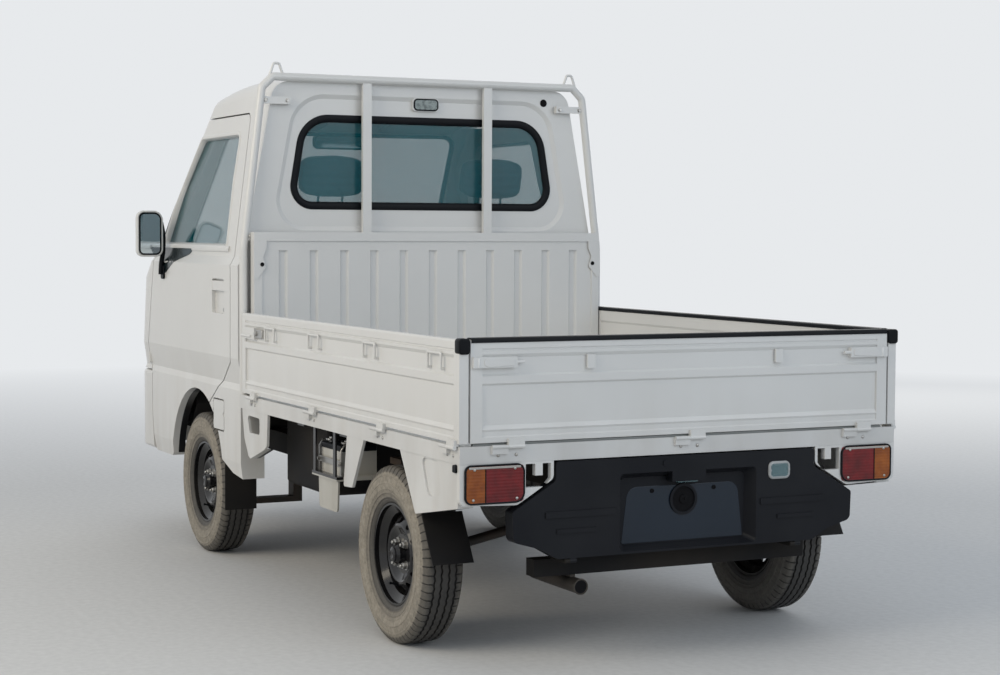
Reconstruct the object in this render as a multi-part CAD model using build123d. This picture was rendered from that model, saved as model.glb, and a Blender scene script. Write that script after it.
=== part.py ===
from build123d import *
import math
import os

# Small cab-over dropside truck. Millimetres, +X forward, +Y to its left, +Z up.
# The origin lies on the ground, at mid-length and mid-width.

# Whole vehicle
LENGTH = 3395.0
WIDTH = 1475.0
HALF_WIDTH = WIDTH / 2
NOSE_X = LENGTH / 2
TAIL_X = -LENGTH / 2
FIT = 0.3
MOVE_GAP = 6.0

# Cab stations are counted forward from a datum this far behind the nose
CAB_DATUM = 1697.5
CAB = NOSE_X - CAB_DATUM

# Wheels and axles
WHEELBASE = 1886.0
FRONT_AXLE_X = CAB + 779.0
REAR_AXLE_X = FRONT_AXLE_X - WHEELBASE
TYRE_RADIUS = 270.0
TYRE_WIDTH = 142.0
TYRE_INSET = 31.5
TYRE_OUTER_Y = HALF_WIDTH - TYRE_INSET
WHEEL_Y = TYRE_OUTER_Y - TYRE_WIDTH / 2
AXLE_Z = TYRE_RADIUS
BEAD_RADIUS = 156.0
RIM_WELL_RADIUS = 132.0
RIM_WALL = 6.0
RIM_HOLES = 12
RIM_HOLE_RADIUS = 12.0
RIM_HOLE_CIRCLE = 106.0
SPINDLE_RADIUS = 17.0
SPINDLE_PLAY = 0.6
SPINDLE_REACH = 50.0

# Cab walls and levels
CAB_REAR_X = CAB + 228.0
SIDE_WALL = 52.0
FRONT_WALL = 40.0
REAR_WALL = 34.0
ROOF_WALL = 30.0
SILL_Z = 335.0
SKIRT_Z = 400.0
LEDGE_LOW_Z = 664.0
LEDGE_TOP_Z = 687.0
SWAGE_Z = 780.0
NOSE_TOP_Z = 1050.0
BELT_Z = 1118.0
SHOULDER_Z = 1150.0
CAP_Z = 1830.0
LOWER_INSET = 11.5
LOWER_HALF = HALF_WIDTH - LOWER_INSET
BELT_HALF = HALF_WIDTH - 1.5
SHOULDER_STEP = 20.0
SCREEN_X = CAB + 1566.0
SCREEN_RAKE = 50.5
SIDE_LEAN = 10.6
ROOF_REAR_Z = 1781.0
ROOF_CROWN_Z = 1796.0
ROOF_FRONT_Z = 1698.0
ROOF_ROUNDING = 70.0

# Where the cab panels meet
BUMPER_TOP_Z = 664.0
FRONT_TOP_Z = 1150.0
SCREEN_TOP_Z = 1650.0
ROOF_SPLIT_Z = 1688.0
ROOF_BACK_SPLIT_Z = 1765.0
REAR_PANEL_LOW_Z = 595.0
CORNER_RETURN = 90.0

# Wheel arch
ARCH_X = FRONT_AXLE_X - 11.0
ARCH_Z = 305.0
ARCH_RADIUS = 332.0
ARCH_DEPTH_Y = 395.0

# Doors
DOOR_REAR_X = CAB + 322.0
DOOR_AXIS_X = CAB + 1407.0
DOOR_AXIS_Y = HALF_WIDTH - 8.5
DOOR_TOP_Z = 1676.0
DOOR_LOW_Z = 338.0
DOOR_BARREL = 2.7
WINDOW_SILL_Z = 1183.0
WINDOW_TOP_Z = 1608.0
GLASS = 5.0
GLASS_DEPTH = 20.0

# Cab floor and seats
FOOT_FLOOR_Z = 480.0
FLOOR_SHEET = 25.0
PLATFORM_Z = 690.0
RISER_X = CAB + 1010.0
FLOOR_HALF = 652.0
SEAT_Y = 330.0

# Bed
BED_FRONT_X = CAB_REAR_X - 7.0
GATE_FRONT_X = CAB_REAR_X - 46.0
BODY_REAR_X = TAIL_X + 13.5
BED_HALF = HALF_WIDTH - 4.5
BED_FLOOR_Z = 655.0
BED_SHEET = 8.0
BEAD_HEIGHT = 5.0
BEAD_PITCH = 115.0
SILL_BOTTOM_Z = 606.0
SILL_DEPTH = 34.0
CROSS_SILL_Z = 590.0
GATE_LOW_Z = 664.0
GATE_TOP_Z = 950.0
GATE_THICK = 28.0
GATE_OUTER_Y = HALF_WIDTH - 2.5
GATE_INNER_Y = GATE_OUTER_Y - GATE_THICK
TAIL_HALF = GATE_INNER_Y - MOVE_GAP
RAIL_LOW_Z = 903.0
RIDGE_Z = 838.0
BAND_Z = 700.0
HINGE_Z = 652.0
HINGE_RADIUS = 6.0
HINGE_LENGTH = 100.0
SIDE_HINGE_Y = HALF_WIDTH + 5.5
TAIL_HINGE_X = TAIL_X + HINGE_RADIUS
SIDE_HINGES_FROM_FRONT = (115.0, 710.0)
SIDE_HINGES_FROM_REAR = (572.0, 62.0)
TAIL_HINGE_Y = 588.0

# Headboard and guard frame
HEAD_X = CAB_REAR_X - 66.0
HEAD_TOP_Z = 1208.0
HEAD_PITCH = 118.0
HEAD_SHEET = 10.0
GUARD_X = CAB_REAR_X - 23.0
TUBE_RADIUS = 15.0
GUARD_TOP_Z = 1800.0
GUARD_FOOT_Y = 722.0
UPRIGHT_Y = 246.0

# Frame under the body
RAIL_Y = 310.0
RAIL_WIDTH = 50.0
RAIL_LOW_TOP_Z = 435.0
RAIL_LOW_Z_FRONT = 355.0

# Rear skirt
LID_X = BODY_REAR_X - 4.0
LID_AXIS_X = BODY_REAR_X
LID_AXIS_Z = 318.0
LID_HINGE_YS = (-390.0, 370.0)
PLATE_HOLE_PITCH = 210.0
PLATE_HOLE_Z = 498.0
PLATE_HOLE_RADIUS = 3.5
PLATE_FACE_X = LID_X + 36.0


def curve(points, radii):
    """Closed outline through the points, each corner rounded by its radius."""
    return FilletPolyline(*points, radius=radii, close=True)


def outline(points, radii=None):
    """Flat face inside the closed outline."""
    if radii is None:
        return make_face(Polyline(*points, close=True))
    return make_face(curve(points, radii))


def side_prism(points, y_low, y_high, radii=None):
    """Side-view outline of (x, z) points, as thick as y_low to y_high."""
    plane = Plane(origin=(0, y_high, 0), x_dir=(1, 0, 0), z_dir=(0, -1, 0))
    return extrude(plane * outline(points, radii), amount=y_high - y_low)


def rear_prism(points, x_low, x_high, radii=None):
    """Rear-view outline of (y, z) points, as thick as x_low to x_high."""
    plane = Plane(origin=(x_low, 0, 0), x_dir=(0, 1, 0), z_dir=(1, 0, 0))
    return extrude(plane * outline(points, radii), amount=x_high - x_low)


def plan_prism(points, z_low, z_high, radii=None):
    """Plan outline of (x, y) points, as thick as z_low to z_high."""
    return extrude(Plane.XY.offset(z_low) * outline(points, radii), amount=z_high - z_low)


def block(x_span, y_span, z_span):
    """Plain box between two corners, whichever way round each span is given."""
    size = [abs(b - a) for a, b in (x_span, y_span, z_span)]
    centre = [(a + b) / 2 for a, b in (x_span, y_span, z_span)]
    return Pos(*centre) * Box(*size)


def rectangle(low, high):
    """Four corners of the rectangle between two (across, up) corners."""
    return [(low[0], low[1]), (high[0], low[1]), (high[0], high[1]), (low[0], high[1])]


def rod(start, end, radius):
    """Round bar from start to end."""
    start = Vector(start)
    end = Vector(end)
    along = end - start
    plane = Plane(origin=start, z_dir=along.normalized())
    return extrude(plane * Circle(radius), amount=along.length)


def bent_rod(points, bend, radius):
    """Round bar along straight runs joined by arcs."""
    path = FilletPolyline(*points, radius=bend)
    start = Vector(points[0])
    plane = Plane(origin=start, z_dir=(Vector(points[1]) - start).normalized())
    return sweep(plane * Circle(radius), path=path)


def rear_pocket(wide, narrow, x_mouth, x_floor, radius):
    """Pocket from one rectangle of (y, z) corners at its mouth to a smaller one at its floor."""
    faces = []
    for (low, high), x in ((wide, x_mouth), (narrow, x_floor)):
        plane = Plane(origin=(x, 0, 0), x_dir=(0, 1, 0), z_dir=(1, 0, 0))
        faces.append(plane * outline(rectangle(low, high), [radius] * 4))
    return loft(faces, ruled=True)


def both_sides(shape):
    """The shape and its mirror image across the middle."""
    return [shape, mirror(shape, about=Plane.XZ)]


def largest(shape):
    """The biggest solid of a shape."""
    return max(shape.solids(), key=lambda solid: solid.volume)


def save(name, *shapes):
    """Write one node: one solid, or several that stand apart."""
    solids = [solid for shape in shapes for solid in shape.solids()]
    whole = solids[0] if len(solids) == 1 else Compound(solids)
    whole.label = name
    export_step(whole, os.path.join("parts", name + ".step"))
    return whole


# Cab form

def plan_section(z, rear, front, half, bow, corner):
    """Closed plan outline with a bowed front that runs tangent into its round corners."""
    reach = bow - corner
    corner_y = half - corner
    corner_x = front - bow + math.sqrt(reach * reach - corner_y * corner_y)
    unit_x = (corner_x - front + bow) / reach
    unit_y = corner_y / reach
    meet = (front - bow + bow * unit_x, bow * unit_y)
    half_angle = (math.pi / 2 + math.atan2(unit_y, unit_x)) / 2
    mid = (corner_x + corner * math.cos(half_angle), corner_y + corner * math.sin(half_angle))
    edges = [
        Line((rear, -half, z), (corner_x, -half, z)),
        ThreePointArc((corner_x, -half, z), (mid[0], -mid[1], z), (meet[0], -meet[1], z)),
        ThreePointArc((meet[0], -meet[1], z), (front, 0, z), (meet[0], meet[1], z)),
        ThreePointArc((meet[0], meet[1], z), (mid[0], mid[1], z), (corner_x, half, z)),
        Line((corner_x, half, z), (rear, half, z)),
        Line((rear, half, z), (rear, -half, z)),
    ]
    return make_face(Wire(edges))


def screen_line(z):
    """How far forward the windscreen's middle reaches at a level."""
    return SCREEN_X - (z - BELT_Z) / math.tan(math.radians(SCREEN_RAKE))


def cab_levels(inset_side, inset_front):
    """Plan sections of the cab skin moved inwards: level, front, half width, nose bow, corner."""
    shoulder_half = BELT_HALF - SHOULDER_STEP
    cap_half = shoulder_half - (CAP_Z - SHOULDER_Z) * math.tan(math.radians(SIDE_LEAN))
    table = [
        (SILL_Z, NOSE_X - 16, LOWER_HALF - 8, 2600.0, 150.0),
        (SKIRT_Z, NOSE_X - 12, LOWER_HALF, 2600.0, 150.0),
        (LEDGE_LOW_Z, NOSE_X - 12, LOWER_HALF, 2600.0, 150.0),
        (LEDGE_TOP_Z, NOSE_X - 18, LOWER_HALF - 7, 2600.0, 150.0),
        (SWAGE_Z, NOSE_X - 24, BELT_HALF, 2500.0, 150.0),
        (NOSE_TOP_Z, NOSE_X - 52, BELT_HALF, 2300.0, 160.0),
        (BELT_Z, SCREEN_X, BELT_HALF, 2100.0, 150.0),
        (SHOULDER_Z, screen_line(SHOULDER_Z), shoulder_half, 2100.0, 130.0),
        (CAP_Z, screen_line(CAP_Z), cap_half, 2000.0, 120.0),
    ]
    return [(z, front - inset_front, half - inset_side, bow - inset_front, corner - inset_front)
            for z, front, half, bow, corner in table]


def roof_cut(inset_roof):
    """Side-view form below the arched roof line."""
    rear_x = CAB_REAR_X - 60
    rear = (rear_x, ROOF_REAR_Z - inset_roof)
    crown = (CAB + 600, ROOF_CROWN_Z - inset_roof)
    front = (CAB + 1200, ROOF_FRONT_Z - inset_roof)
    fore_x = NOSE_X + 100
    edges = [
        ThreePointArc(rear, crown, front),
        Line(front, (fore_x, 1500)),
        Line((fore_x, 1500), (fore_x, 100)),
        Line((fore_x, 100), (rear_x, 100)),
        Line((rear_x, 100), rear),
    ]
    return extrude(SIDE_PLANE * make_face(Wire(edges)), amount=2 * SIDE_REACH)


def cab_form(inset_side, inset_front, inset_rear, inset_roof):
    """Solid cab form, each face moved inwards by its inset."""
    rear = CAB_REAR_X + inset_rear
    sections = [plan_section(z, rear, front, half, bow, corner)
                for z, front, half, bow, corner in cab_levels(inset_side, inset_front)]
    body = loft(sections, ruled=True) & roof_cut(inset_roof)
    top = body.faces().sort_by(Axis.Z)[-1]
    rims = [edge for edge in top.edges() if edge.center().X > rear + 1]
    return fillet(rims, ROOF_ROUNDING - inset_roof / 2)


def cab_skin(depth, thick):
    """Skin of the cab form between two depths, for glass and lamps."""
    deep = depth + thick
    return cab_form(depth, depth, depth, depth) - cab_form(deep, deep, deep, deep)


SIDE_REACH = 900.0
SIDE_PLANE = Plane(origin=(0, SIDE_REACH, 0), x_dir=(1, 0, 0), z_dir=(0, -1, 0))
ALL_Y = (-SIDE_REACH, SIDE_REACH)
FORE_X = NOSE_X + 100
UNDER_Z = SILL_Z - 20
HIGH_Z = 2000.0

os.makedirs("parts", exist_ok=True)

cab_outer = cab_form(0, 0, 0, 0)
cab_inner = cab_form(SIDE_WALL, FRONT_WALL, REAR_WALL, ROOF_WALL)
cab_shell = cab_outer - cab_inner
cab_inner_fit = cab_form(SIDE_WALL + FIT, FRONT_WALL + FIT, REAR_WALL + FIT, ROOF_WALL + FIT)
glass_skin = cab_skin(GLASS_DEPTH, GLASS)

arch_tool = Pos(ARCH_X, 0, ARCH_Z) * Rot(90, 0, 0) * Cylinder(ARCH_RADIUS, 2 * SIDE_REACH)

# Door outline in side view: station, level and corner radius
DOOR_TABLE = [
    (DOOR_REAR_X, 768, 20), (CAB + 612, 592, 8), (CAB + 700, 480, 0), (CAB + 880, 480, 0),
    (CAB + 1118, DOOR_LOW_Z, 12), (CAB + 1344, DOOR_LOW_Z, 24), (CAB + 1376, 500, 60), (CAB + 1376, 660, 8),
    (CAB + 1404, 692, 8), (CAB + 1404, 760, 60), (CAB + 1316, 1128, 60), (CAB + 1186, 1431, 90),
    (CAB + 1020, DOOR_TOP_Z, 60), (CAB + 428, DOOR_TOP_Z, 36), (CAB + 370, 1365, 90), (CAB + 318, 1100, 60),
]
door_face = outline([row[:2] for row in DOOR_TABLE], [row[2] for row in DOOR_TABLE])
door_block = extrude(SIDE_PLANE * door_face, amount=360)
opening_block = extrude(SIDE_PLANE * offset(door_face, amount=MOVE_GAP), amount=420)

# Door window in side view: station, level and corner radius
WINDOW_TABLE = [
    (CAB + 440, WINDOW_SILL_Z, 16), (CAB + 1262, WINDOW_SILL_Z, 14), (CAB + 1152, 1428, 60),
    (CAB + 990, WINDOW_TOP_Z, 60), (CAB + 506, WINDOW_TOP_Z, 34), (CAB + 494, 1432, 90),
]
window_face = outline([row[:2] for row in WINDOW_TABLE], [row[2] for row in WINDOW_TABLE])
window_block = extrude(SIDE_PLANE * window_face, amount=500)
door_pane_block = extrude(SIDE_PLANE * offset(window_face, amount=-FIT), amount=500)

roof_region = side_prism([
    (CAB_REAR_X + 40, ROOF_SPLIT_Z), (CAB + 1010, ROOF_SPLIT_Z), (CAB + 1040, SCREEN_TOP_Z),
    (CAB + 1300, SCREEN_TOP_Z), (CAB + 1300, HIGH_Z), (CAB_REAR_X - 100, HIGH_Z),
    (CAB_REAR_X - 100, ROOF_BACK_SPLIT_Z), (CAB_REAR_X + 40, ROOF_BACK_SPLIT_Z)], *ALL_Y)
rear_region = block((CAB_REAR_X - 100, CAB_REAR_X + REAR_WALL + 6), ALL_Y,
                    (REAR_PANEL_LOW_Z, ROOF_BACK_SPLIT_Z))
corner_gap = block((CAB_REAR_X - 100, CAB_REAR_X + SIDE_WALL),
                   (CORNER_RETURN - LOWER_HALF, LOWER_HALF - CORNER_RETURN),
                   (UNDER_Z, REAR_PANEL_LOW_Z))
front_region = side_prism([
    (CAB + 1352, UNDER_Z), (CAB + 1382, 500), (CAB + 1382, 742), (CAB + 1290, 1128),
    (CAB + 1290, FRONT_TOP_Z),
    (FORE_X, FRONT_TOP_Z), (FORE_X, UNDER_Z)], *ALL_Y)
bumper_region = block((CAB + 1200, FORE_X), ALL_Y, (UNDER_Z, BUMPER_TOP_Z + 6))

# Windscreen and rear window
SCREEN_LOW_HALF = 570.0
SCREEN_TOP_HALF = 500.0
SCREEN_OUTLINE = [(-SCREEN_LOW_HALF, FRONT_TOP_Z), (SCREEN_LOW_HALF, FRONT_TOP_Z),
                  (SCREEN_TOP_HALF, SCREEN_TOP_Z), (-SCREEN_TOP_HALF, SCREEN_TOP_Z)]
screen_face = outline(SCREEN_OUTLINE, [70, 70, 60, 60])
SCREEN_PLANE = Plane(origin=(CAB + 900, 0, 0), x_dir=(0, 1, 0), z_dir=(1, 0, 0))
screen_block = extrude(SCREEN_PLANE * screen_face, amount=900)
screen_pane_block = extrude(SCREEN_PLANE * offset(screen_face, amount=-FIT), amount=900)
REAR_WINDOW = [(-530, 1338), (530, 1338), (478, 1656), (-478, 1656)]
REAR_WINDOW_RADII = [70, 70, 110, 110]
rear_window_block = rear_prism(REAR_WINDOW, CAB_REAR_X - 60, CAB_REAR_X + 160, REAR_WINDOW_RADII)
rear_window_face = offset(outline(REAR_WINDOW, REAR_WINDOW_RADII), amount=-FIT)
REAR_PANE_PLANE = Plane(origin=(CAB_REAR_X + 14, 0, 0), x_dir=(0, 1, 0), z_dir=(1, 0, 0))
rear_pane = extrude(REAR_PANE_PLANE * rear_window_face, amount=GLASS)
screen = largest(glass_skin & screen_pane_block)
save("cab_glass", screen, rear_pane)

save("cab_roof", cab_shell & roof_region)

# Rear wall with its pressed field round the window and the work lamp's housing
PRESS_DEPTH = 9.0
PRESS_SLOPE = 16.0
PRESSED_FIELD = [(-612, 1246), (612, 1246), (518, 1744), (-518, 1744)]
field_mouth = outline(PRESSED_FIELD, [110, 110, 140, 140])
field_floor = offset(field_mouth, amount=-PRESS_SLOPE)
mouth_plane = Plane(origin=(CAB_REAR_X, 0, 0), x_dir=(0, 1, 0), z_dir=(1, 0, 0))
floor_plane = Plane(origin=(CAB_REAR_X + PRESS_DEPTH, 0, 0), x_dir=(0, 1, 0), z_dir=(1, 0, 0))
press = loft([mouth_plane * field_mouth, floor_plane * field_floor], ruled=True)
rear_wall = (cab_shell & rear_region) - roof_region - rear_window_block - press
WORK_LAMP = rectangle((-53, 1693), (53, 1742))
rear_wall = rear_wall + rear_prism(WORK_LAMP, CAB_REAR_X - 6, CAB_REAR_X + PRESS_DEPTH + 2, [12] * 4)
save("cab_rear_wall", rear_wall)

# Front panel, lamps and bumper
left_opening, right_opening = both_sides(opening_block)
front_all = (cab_shell & front_region) - roof_region - left_opening - right_opening
LAMP_LOW_Z = 745.0
LAMP_TOP_Z = 865.0
LAMP_INNER_Y = 440.0
LAMP_OUTER_Y = 760.0
LAMP_REAR_X = CAB + 1500.0
front_panel = front_all - bumper_region
lamp_skin = cab_skin(2.0, 32.0)
lamps = []
for side in (1, -1):
    lamp_face = rectangle((side * LAMP_INNER_Y, LAMP_LOW_Z), (side * LAMP_OUTER_Y, LAMP_TOP_Z))
    lamp_cut = rear_prism(lamp_face, LAMP_REAR_X, FORE_X, [24] * 4)
    front_panel = front_panel - lamp_cut
    lamps.append(lamp_skin & front_region & lamp_cut)
nose_field = rear_prism(rectangle((-400, 760), (400, 850)), NOSE_X - 42, FORE_X, [20] * 4)
front_panel = front_panel - (nose_field - cab_form(5, 5, 5, 5))
save("cab_front_panel", front_panel)
save("headlamps", *lamps)
bumper_section = plan_section(SILL_Z + 8, CAB + 1000, NOSE_X, LOWER_HALF, 2600.0, 150.0)
bumper_form = extrude(bumper_section, amount=BUMPER_TOP_Z - SILL_Z - 8)
bumper_form = fillet(bumper_form.edges().filter_by(lambda edge: edge.center().X > CAB + 1010), 14)
bumper = (bumper_form - cab_inner) & front_region & bumper_region
for low_z in (430.0, 470.0, 510.0):
    bumper = bumper - rear_prism(rectangle((-330, low_z), (330, low_z + 26)), CAB + 1500, FORE_X, [8] * 4)
save("front_bumper", bumper - left_opening - right_opening)

# Cab sides with the rear corner's return, and the fuel lid in the left one
side_region = cab_shell - roof_region - rear_region - corner_gap - front_region - arch_tool - screen_block
left_half = block((CAB, FORE_X), (0, SIDE_REACH), (UNDER_Z, HIGH_Z))
HEM_LINE = [(CAB_REAR_X - 20, SILL_Z - 40), (CAB_REAR_X - 20, SILL_Z + 6), (CAB + 335, SILL_Z + 20),
            (ARCH_X - 300, SILL_Z + 66), (ARCH_X - 300, SILL_Z - 40)]
left_side = (side_region & left_half) - opening_block - side_prism(HEM_LINE, 0, SIDE_REACH)
LID_LOW = (CAB + 420, 497)
LID_HIGH = (CAB + 555, 618)
LID_CORNER = 14.0
FUEL_LID_THICK = 8.0
FUEL_AXIS_X = LID_HIGH[0] - 3
FUEL_AXIS_Y = LOWER_HALF - 3
lid_recess = side_prism(rectangle(LID_LOW, LID_HIGH), LOWER_HALF - 21, SIDE_REACH, [LID_CORNER] * 4)
lid_face = offset(outline(rectangle(LID_LOW, LID_HIGH), [LID_CORNER] * 4), amount=-MOVE_GAP)
fuel_lid = extrude(Plane(origin=(0, LOWER_HALF, 0), x_dir=(1, 0, 0), z_dir=(0, -1, 0)) * lid_face,
                   amount=FUEL_LID_THICK)
fuel_lid = fuel_lid - rod((LID_LOW[0] + 8, LOWER_HALF, 560), (LID_LOW[0] + 8, LOWER_HALF - 3, 560), 9)
for z in (525.0, 590.0):
    barrel = rod((FUEL_AXIS_X, FUEL_AXIS_Y, z - 10), (FUEL_AXIS_X, FUEL_AXIS_Y, z + 10), DOOR_BARREL)
    web = block((FUEL_AXIS_X - 7, FUEL_AXIS_X), (FUEL_AXIS_Y - DOOR_BARREL, FUEL_AXIS_Y + DOOR_BARREL),
                (z - 10, z + 10))
    fuel_lid = fuel_lid + barrel + web
save("fuel_lid", fuel_lid)
SLIVER = 1e5
for name, shape in (("cab_side_left", left_side - lid_recess),
                    ("cab_side_right", mirror(left_side, about=Plane.XZ))):
    save(name, *[solid for solid in shape.solids() if solid.volume > SLIVER])

# Doors: shell, handle in its recess, hinge barrel, pane and mirror
HANDLE_LOW = (CAB + 388, 938)
HANDLE_HIGH = (CAB + 534, 1066)
HANDLE_DEPTH = 14.0
door = (cab_shell & door_block & block((CAB, FORE_X), (300, SIDE_REACH),
                                       (0, HIGH_Z))) - arch_tool - window_block
door_left = largest(door)
pocket_y = BELT_HALF - HANDLE_DEPTH
door_left = door_left - side_prism(rectangle(HANDLE_LOW, HANDLE_HIGH), pocket_y, SIDE_REACH, [12] * 4)
grip = block((HANDLE_LOW[0] - 1, HANDLE_HIGH[0] + 1), (pocket_y + 4, BELT_HALF - 1),
             (HANDLE_HIGH[1] - 44, HANDLE_HIGH[1] - 8))
door_left = door_left + grip
BARREL_LOW_Z = 694.0
BARREL_TOP_Z = 744.0
door_left = door_left + rod((DOOR_AXIS_X, DOOR_AXIS_Y, BARREL_LOW_Z),
                            (DOOR_AXIS_X, DOOR_AXIS_Y, BARREL_TOP_Z), DOOR_BARREL)
door_left = door_left + block((DOOR_AXIS_X - 9, DOOR_AXIS_X), (DOOR_AXIS_Y - 12, DOOR_AXIS_Y),
                              (BARREL_LOW_Z + 6, BARREL_TOP_Z - 6))
pane_left = largest(glass_skin & door_pane_block & block((CAB, FORE_X), (300, SIDE_REACH), (0, HIGH_Z)))
MIRROR_X = CAB + 1165.0
mirror_shell = fillet((Pos(MIRROR_X, 800, 1230) * Box(50, 108, 186)).edges(), 18)
mirror_shell = mirror_shell - rear_prism(rectangle((756, 1147), (844, 1313)), MIRROR_X - 30, MIRROR_X - 22,
                                         [14] * 4)
mirror_arm = rod((MIRROR_X + 6, BELT_HALF + 11, 1075), (MIRROR_X + 8, 792, 1150), 9)
mirror_foot = block((MIRROR_X - 14, MIRROR_X + 26), (BELT_HALF + FIT, BELT_HALF + 10), (1050, 1100))
mirror_left = mirror_shell + mirror_arm + mirror_foot
for side, flip in (("left", False), ("right", True)):
    for name, shape in (("door", door_left), ("door_glass", pane_left), ("mirror", mirror_left)):
        save(name + "_" + side, mirror(shape, about=Plane.XZ) if flip else shape)

# Cab floor: foot well, riser and seat platform, with a wall round each wheel well
FLOOR_REAR_X = CAB_REAR_X + REAR_WALL + 7
FLOOR_FRONT_X = CAB + 1600.0
floor_profile = [
    (FLOOR_REAR_X, PLATFORM_Z), (FLOOR_REAR_X, PLATFORM_Z - FLOOR_SHEET),
    (RISER_X - FLOOR_SHEET, PLATFORM_Z - FLOOR_SHEET), (RISER_X - FLOOR_SHEET, FOOT_FLOOR_Z - FLOOR_SHEET),
    (CAB + 1500, FOOT_FLOOR_Z - FLOOR_SHEET), (FLOOR_FRONT_X, 560.0), (FLOOR_FRONT_X, 900.0),
    (FLOOR_FRONT_X - FLOOR_SHEET, 900.0), (FLOOR_FRONT_X - FLOOR_SHEET, 570.0),
    (CAB + 1490, FOOT_FLOOR_Z), (RISER_X, FOOT_FLOOR_Z), (RISER_X, PLATFORM_Z),
]
WELL_WALL = 12.0
WELL_TOP_Z = PLATFORM_Z - 60
WELL_FRONT_X = CAB + 1200.0
floor = side_prism(floor_profile, -FLOOR_HALF, FLOOR_HALF) & cab_inner_fit
well_outer = Pos(ARCH_X, 0, ARCH_Z) * Rot(90, 0, 0) * Cylinder(ARCH_RADIUS + WELL_WALL, 2 * FLOOR_HALF)
for side in (1, -1):
    inside = (side * ARCH_DEPTH_Y, side * (FLOOR_HALF + 40))
    walled = (side * (ARCH_DEPTH_Y - WELL_WALL), side * FLOOR_HALF)
    floor = floor + (well_outer & block((RISER_X - 5, WELL_FRONT_X), walled, (FOOT_FLOOR_Z - 5, WELL_TOP_Z)))
    floor = floor - (arch_tool & block((CAB, WELL_FRONT_X), inside, (0, PLATFORM_Z - FLOOR_SHEET - 1)))
save("cab_floor", largest(floor))

# Dashboard with the steering column, and the steering wheel
DASH_HALF = 600.0
dash_profile = [(CAB + 1330, 860), (CAB + 1370, 840), (CAB + 1575, 860), (CAB + 1575, 1040),
                (CAB + 1500, 1075), (CAB + 1380, 1070), (CAB + 1335, 1000)]
dash = side_prism(dash_profile, -DASH_HALF, DASH_HALF, [20, 20, 10, 10, 30, 30, 30]) & cab_inner_fit
binnacle = side_prism([(CAB + 1350, 1060), (CAB + 1490, 1060), (CAB + 1470, 1105), (CAB + 1375, 1112)],
                      -SEAT_Y - 150, -SEAT_Y + 150, [2, 8, 14, 14])
binnacle = binnacle & cab_inner_fit
dash = dash - block((CAB + 1320, CAB + 1352), (120, 420), (905, 985))
WHEEL_CENTRE = Vector(CAB + 1150, -SEAT_Y, 1075)
COLUMN_FOOT = Vector(CAB + 1420, -SEAT_Y, 930)
column_axis = (COLUMN_FOOT - WHEEL_CENTRE).normalized()
COLUMN_GAP = 40.0
column = rod(WHEEL_CENTRE + column_axis * COLUMN_GAP, COLUMN_FOOT, 32)
save("dashboard", dash + binnacle + column)

HAND_RADIUS = 180.0
hub_plane = Plane(origin=WHEEL_CENTRE, z_dir=column_axis, x_dir=(0, 1, 0))
steering = hub_plane * Torus(HAND_RADIUS, 13) + hub_plane * Cylinder(45, 24)
steering = steering + hub_plane * Box(2 * HAND_RADIUS - 5, 34, 14)
steering = steering + hub_plane * (Pos(0, HAND_RADIUS / 2, 0) * Box(34, HAND_RADIUS - 2, 14))
steering = steering + rod(WHEEL_CENTRE, WHEEL_CENTRE + column_axis * (COLUMN_GAP - 2 * FIT), 14)
save("steering_wheel", steering)

# Seats: cushion, backrest and headrest of each
SEAT_LEAN = -12.0
seats = []
for y in (-SEAT_Y, SEAT_Y):
    cushion = fillet((Pos(CAB + 650, y, PLATFORM_Z + FIT + 65) * Box(500, 480, 130)).edges(), 28)
    back = Pos(CAB + 415, y, PLATFORM_Z + 410) * Rot(0, SEAT_LEAN, 0) * fillet(Box(110, 470, 560).edges(),
                                                                               32)
    rest = Pos(CAB + 346, y, PLATFORM_Z + 758.7) * Rot(0, SEAT_LEAN, 0) * fillet(Box(80, 260, 150).edges(),
                                                                                 28)
    seats += [cushion, back, rest]
save("seats", *seats)

# Bed floor: beaded sheet on a ring of sills and cross sills
BEAD_SHAPE = ((26.0, 0.0), (20.0, BEAD_HEIGHT), (-20.0, BEAD_HEIGHT), (-26.0, 0.0))
half_sheet = GATE_INNER_Y - 8
under_sheet = BED_FLOOR_Z - BED_SHEET
points = [(-half_sheet, under_sheet), (half_sheet, under_sheet), (half_sheet, BED_FLOOR_Z)]
for index in range(5, -6, -1):
    points += [(index * BEAD_PITCH + across, BED_FLOOR_Z + rise) for across, rise in BEAD_SHAPE]
points += [(-half_sheet, BED_FLOOR_Z)]
bed = rear_prism(points, BODY_REAR_X + 24, HEAD_X - 12)
bed = bed + block((HEAD_X - 13, BED_FRONT_X - 22), (-half_sheet, half_sheet), (under_sheet, BED_FLOOR_Z))
ring_inner = (BED_HALF - SILL_DEPTH, BODY_REAR_X + SILL_DEPTH, BED_FRONT_X - SILL_DEPTH)
bed = bed + (block((BODY_REAR_X, BED_FRONT_X), (-BED_HALF, BED_HALF), (SILL_BOTTOM_Z, BED_FLOOR_Z))
             - block(ring_inner[1:], (-ring_inner[0], ring_inner[0]), (SILL_BOTTOM_Z - 5, BED_FLOOR_Z + 5)))
CROSS_SILLS_FROM_FRONT = (161.0, 551.0)
CROSS_SILLS_FROM_AXLE = (387.0, -293.0)
cross_xs = [BED_FRONT_X - step for step in CROSS_SILLS_FROM_FRONT]
cross_xs += [REAR_AXLE_X + step for step in CROSS_SILLS_FROM_AXLE]
for x in cross_xs:
    bed = bed + block((x - 30, x + 30), (-ring_inner[0] - 1, ring_inner[0] + 1),
                      (CROSS_SILL_Z, under_sheet + 1))
LAMP_PANEL_THICK = 18.0
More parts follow.
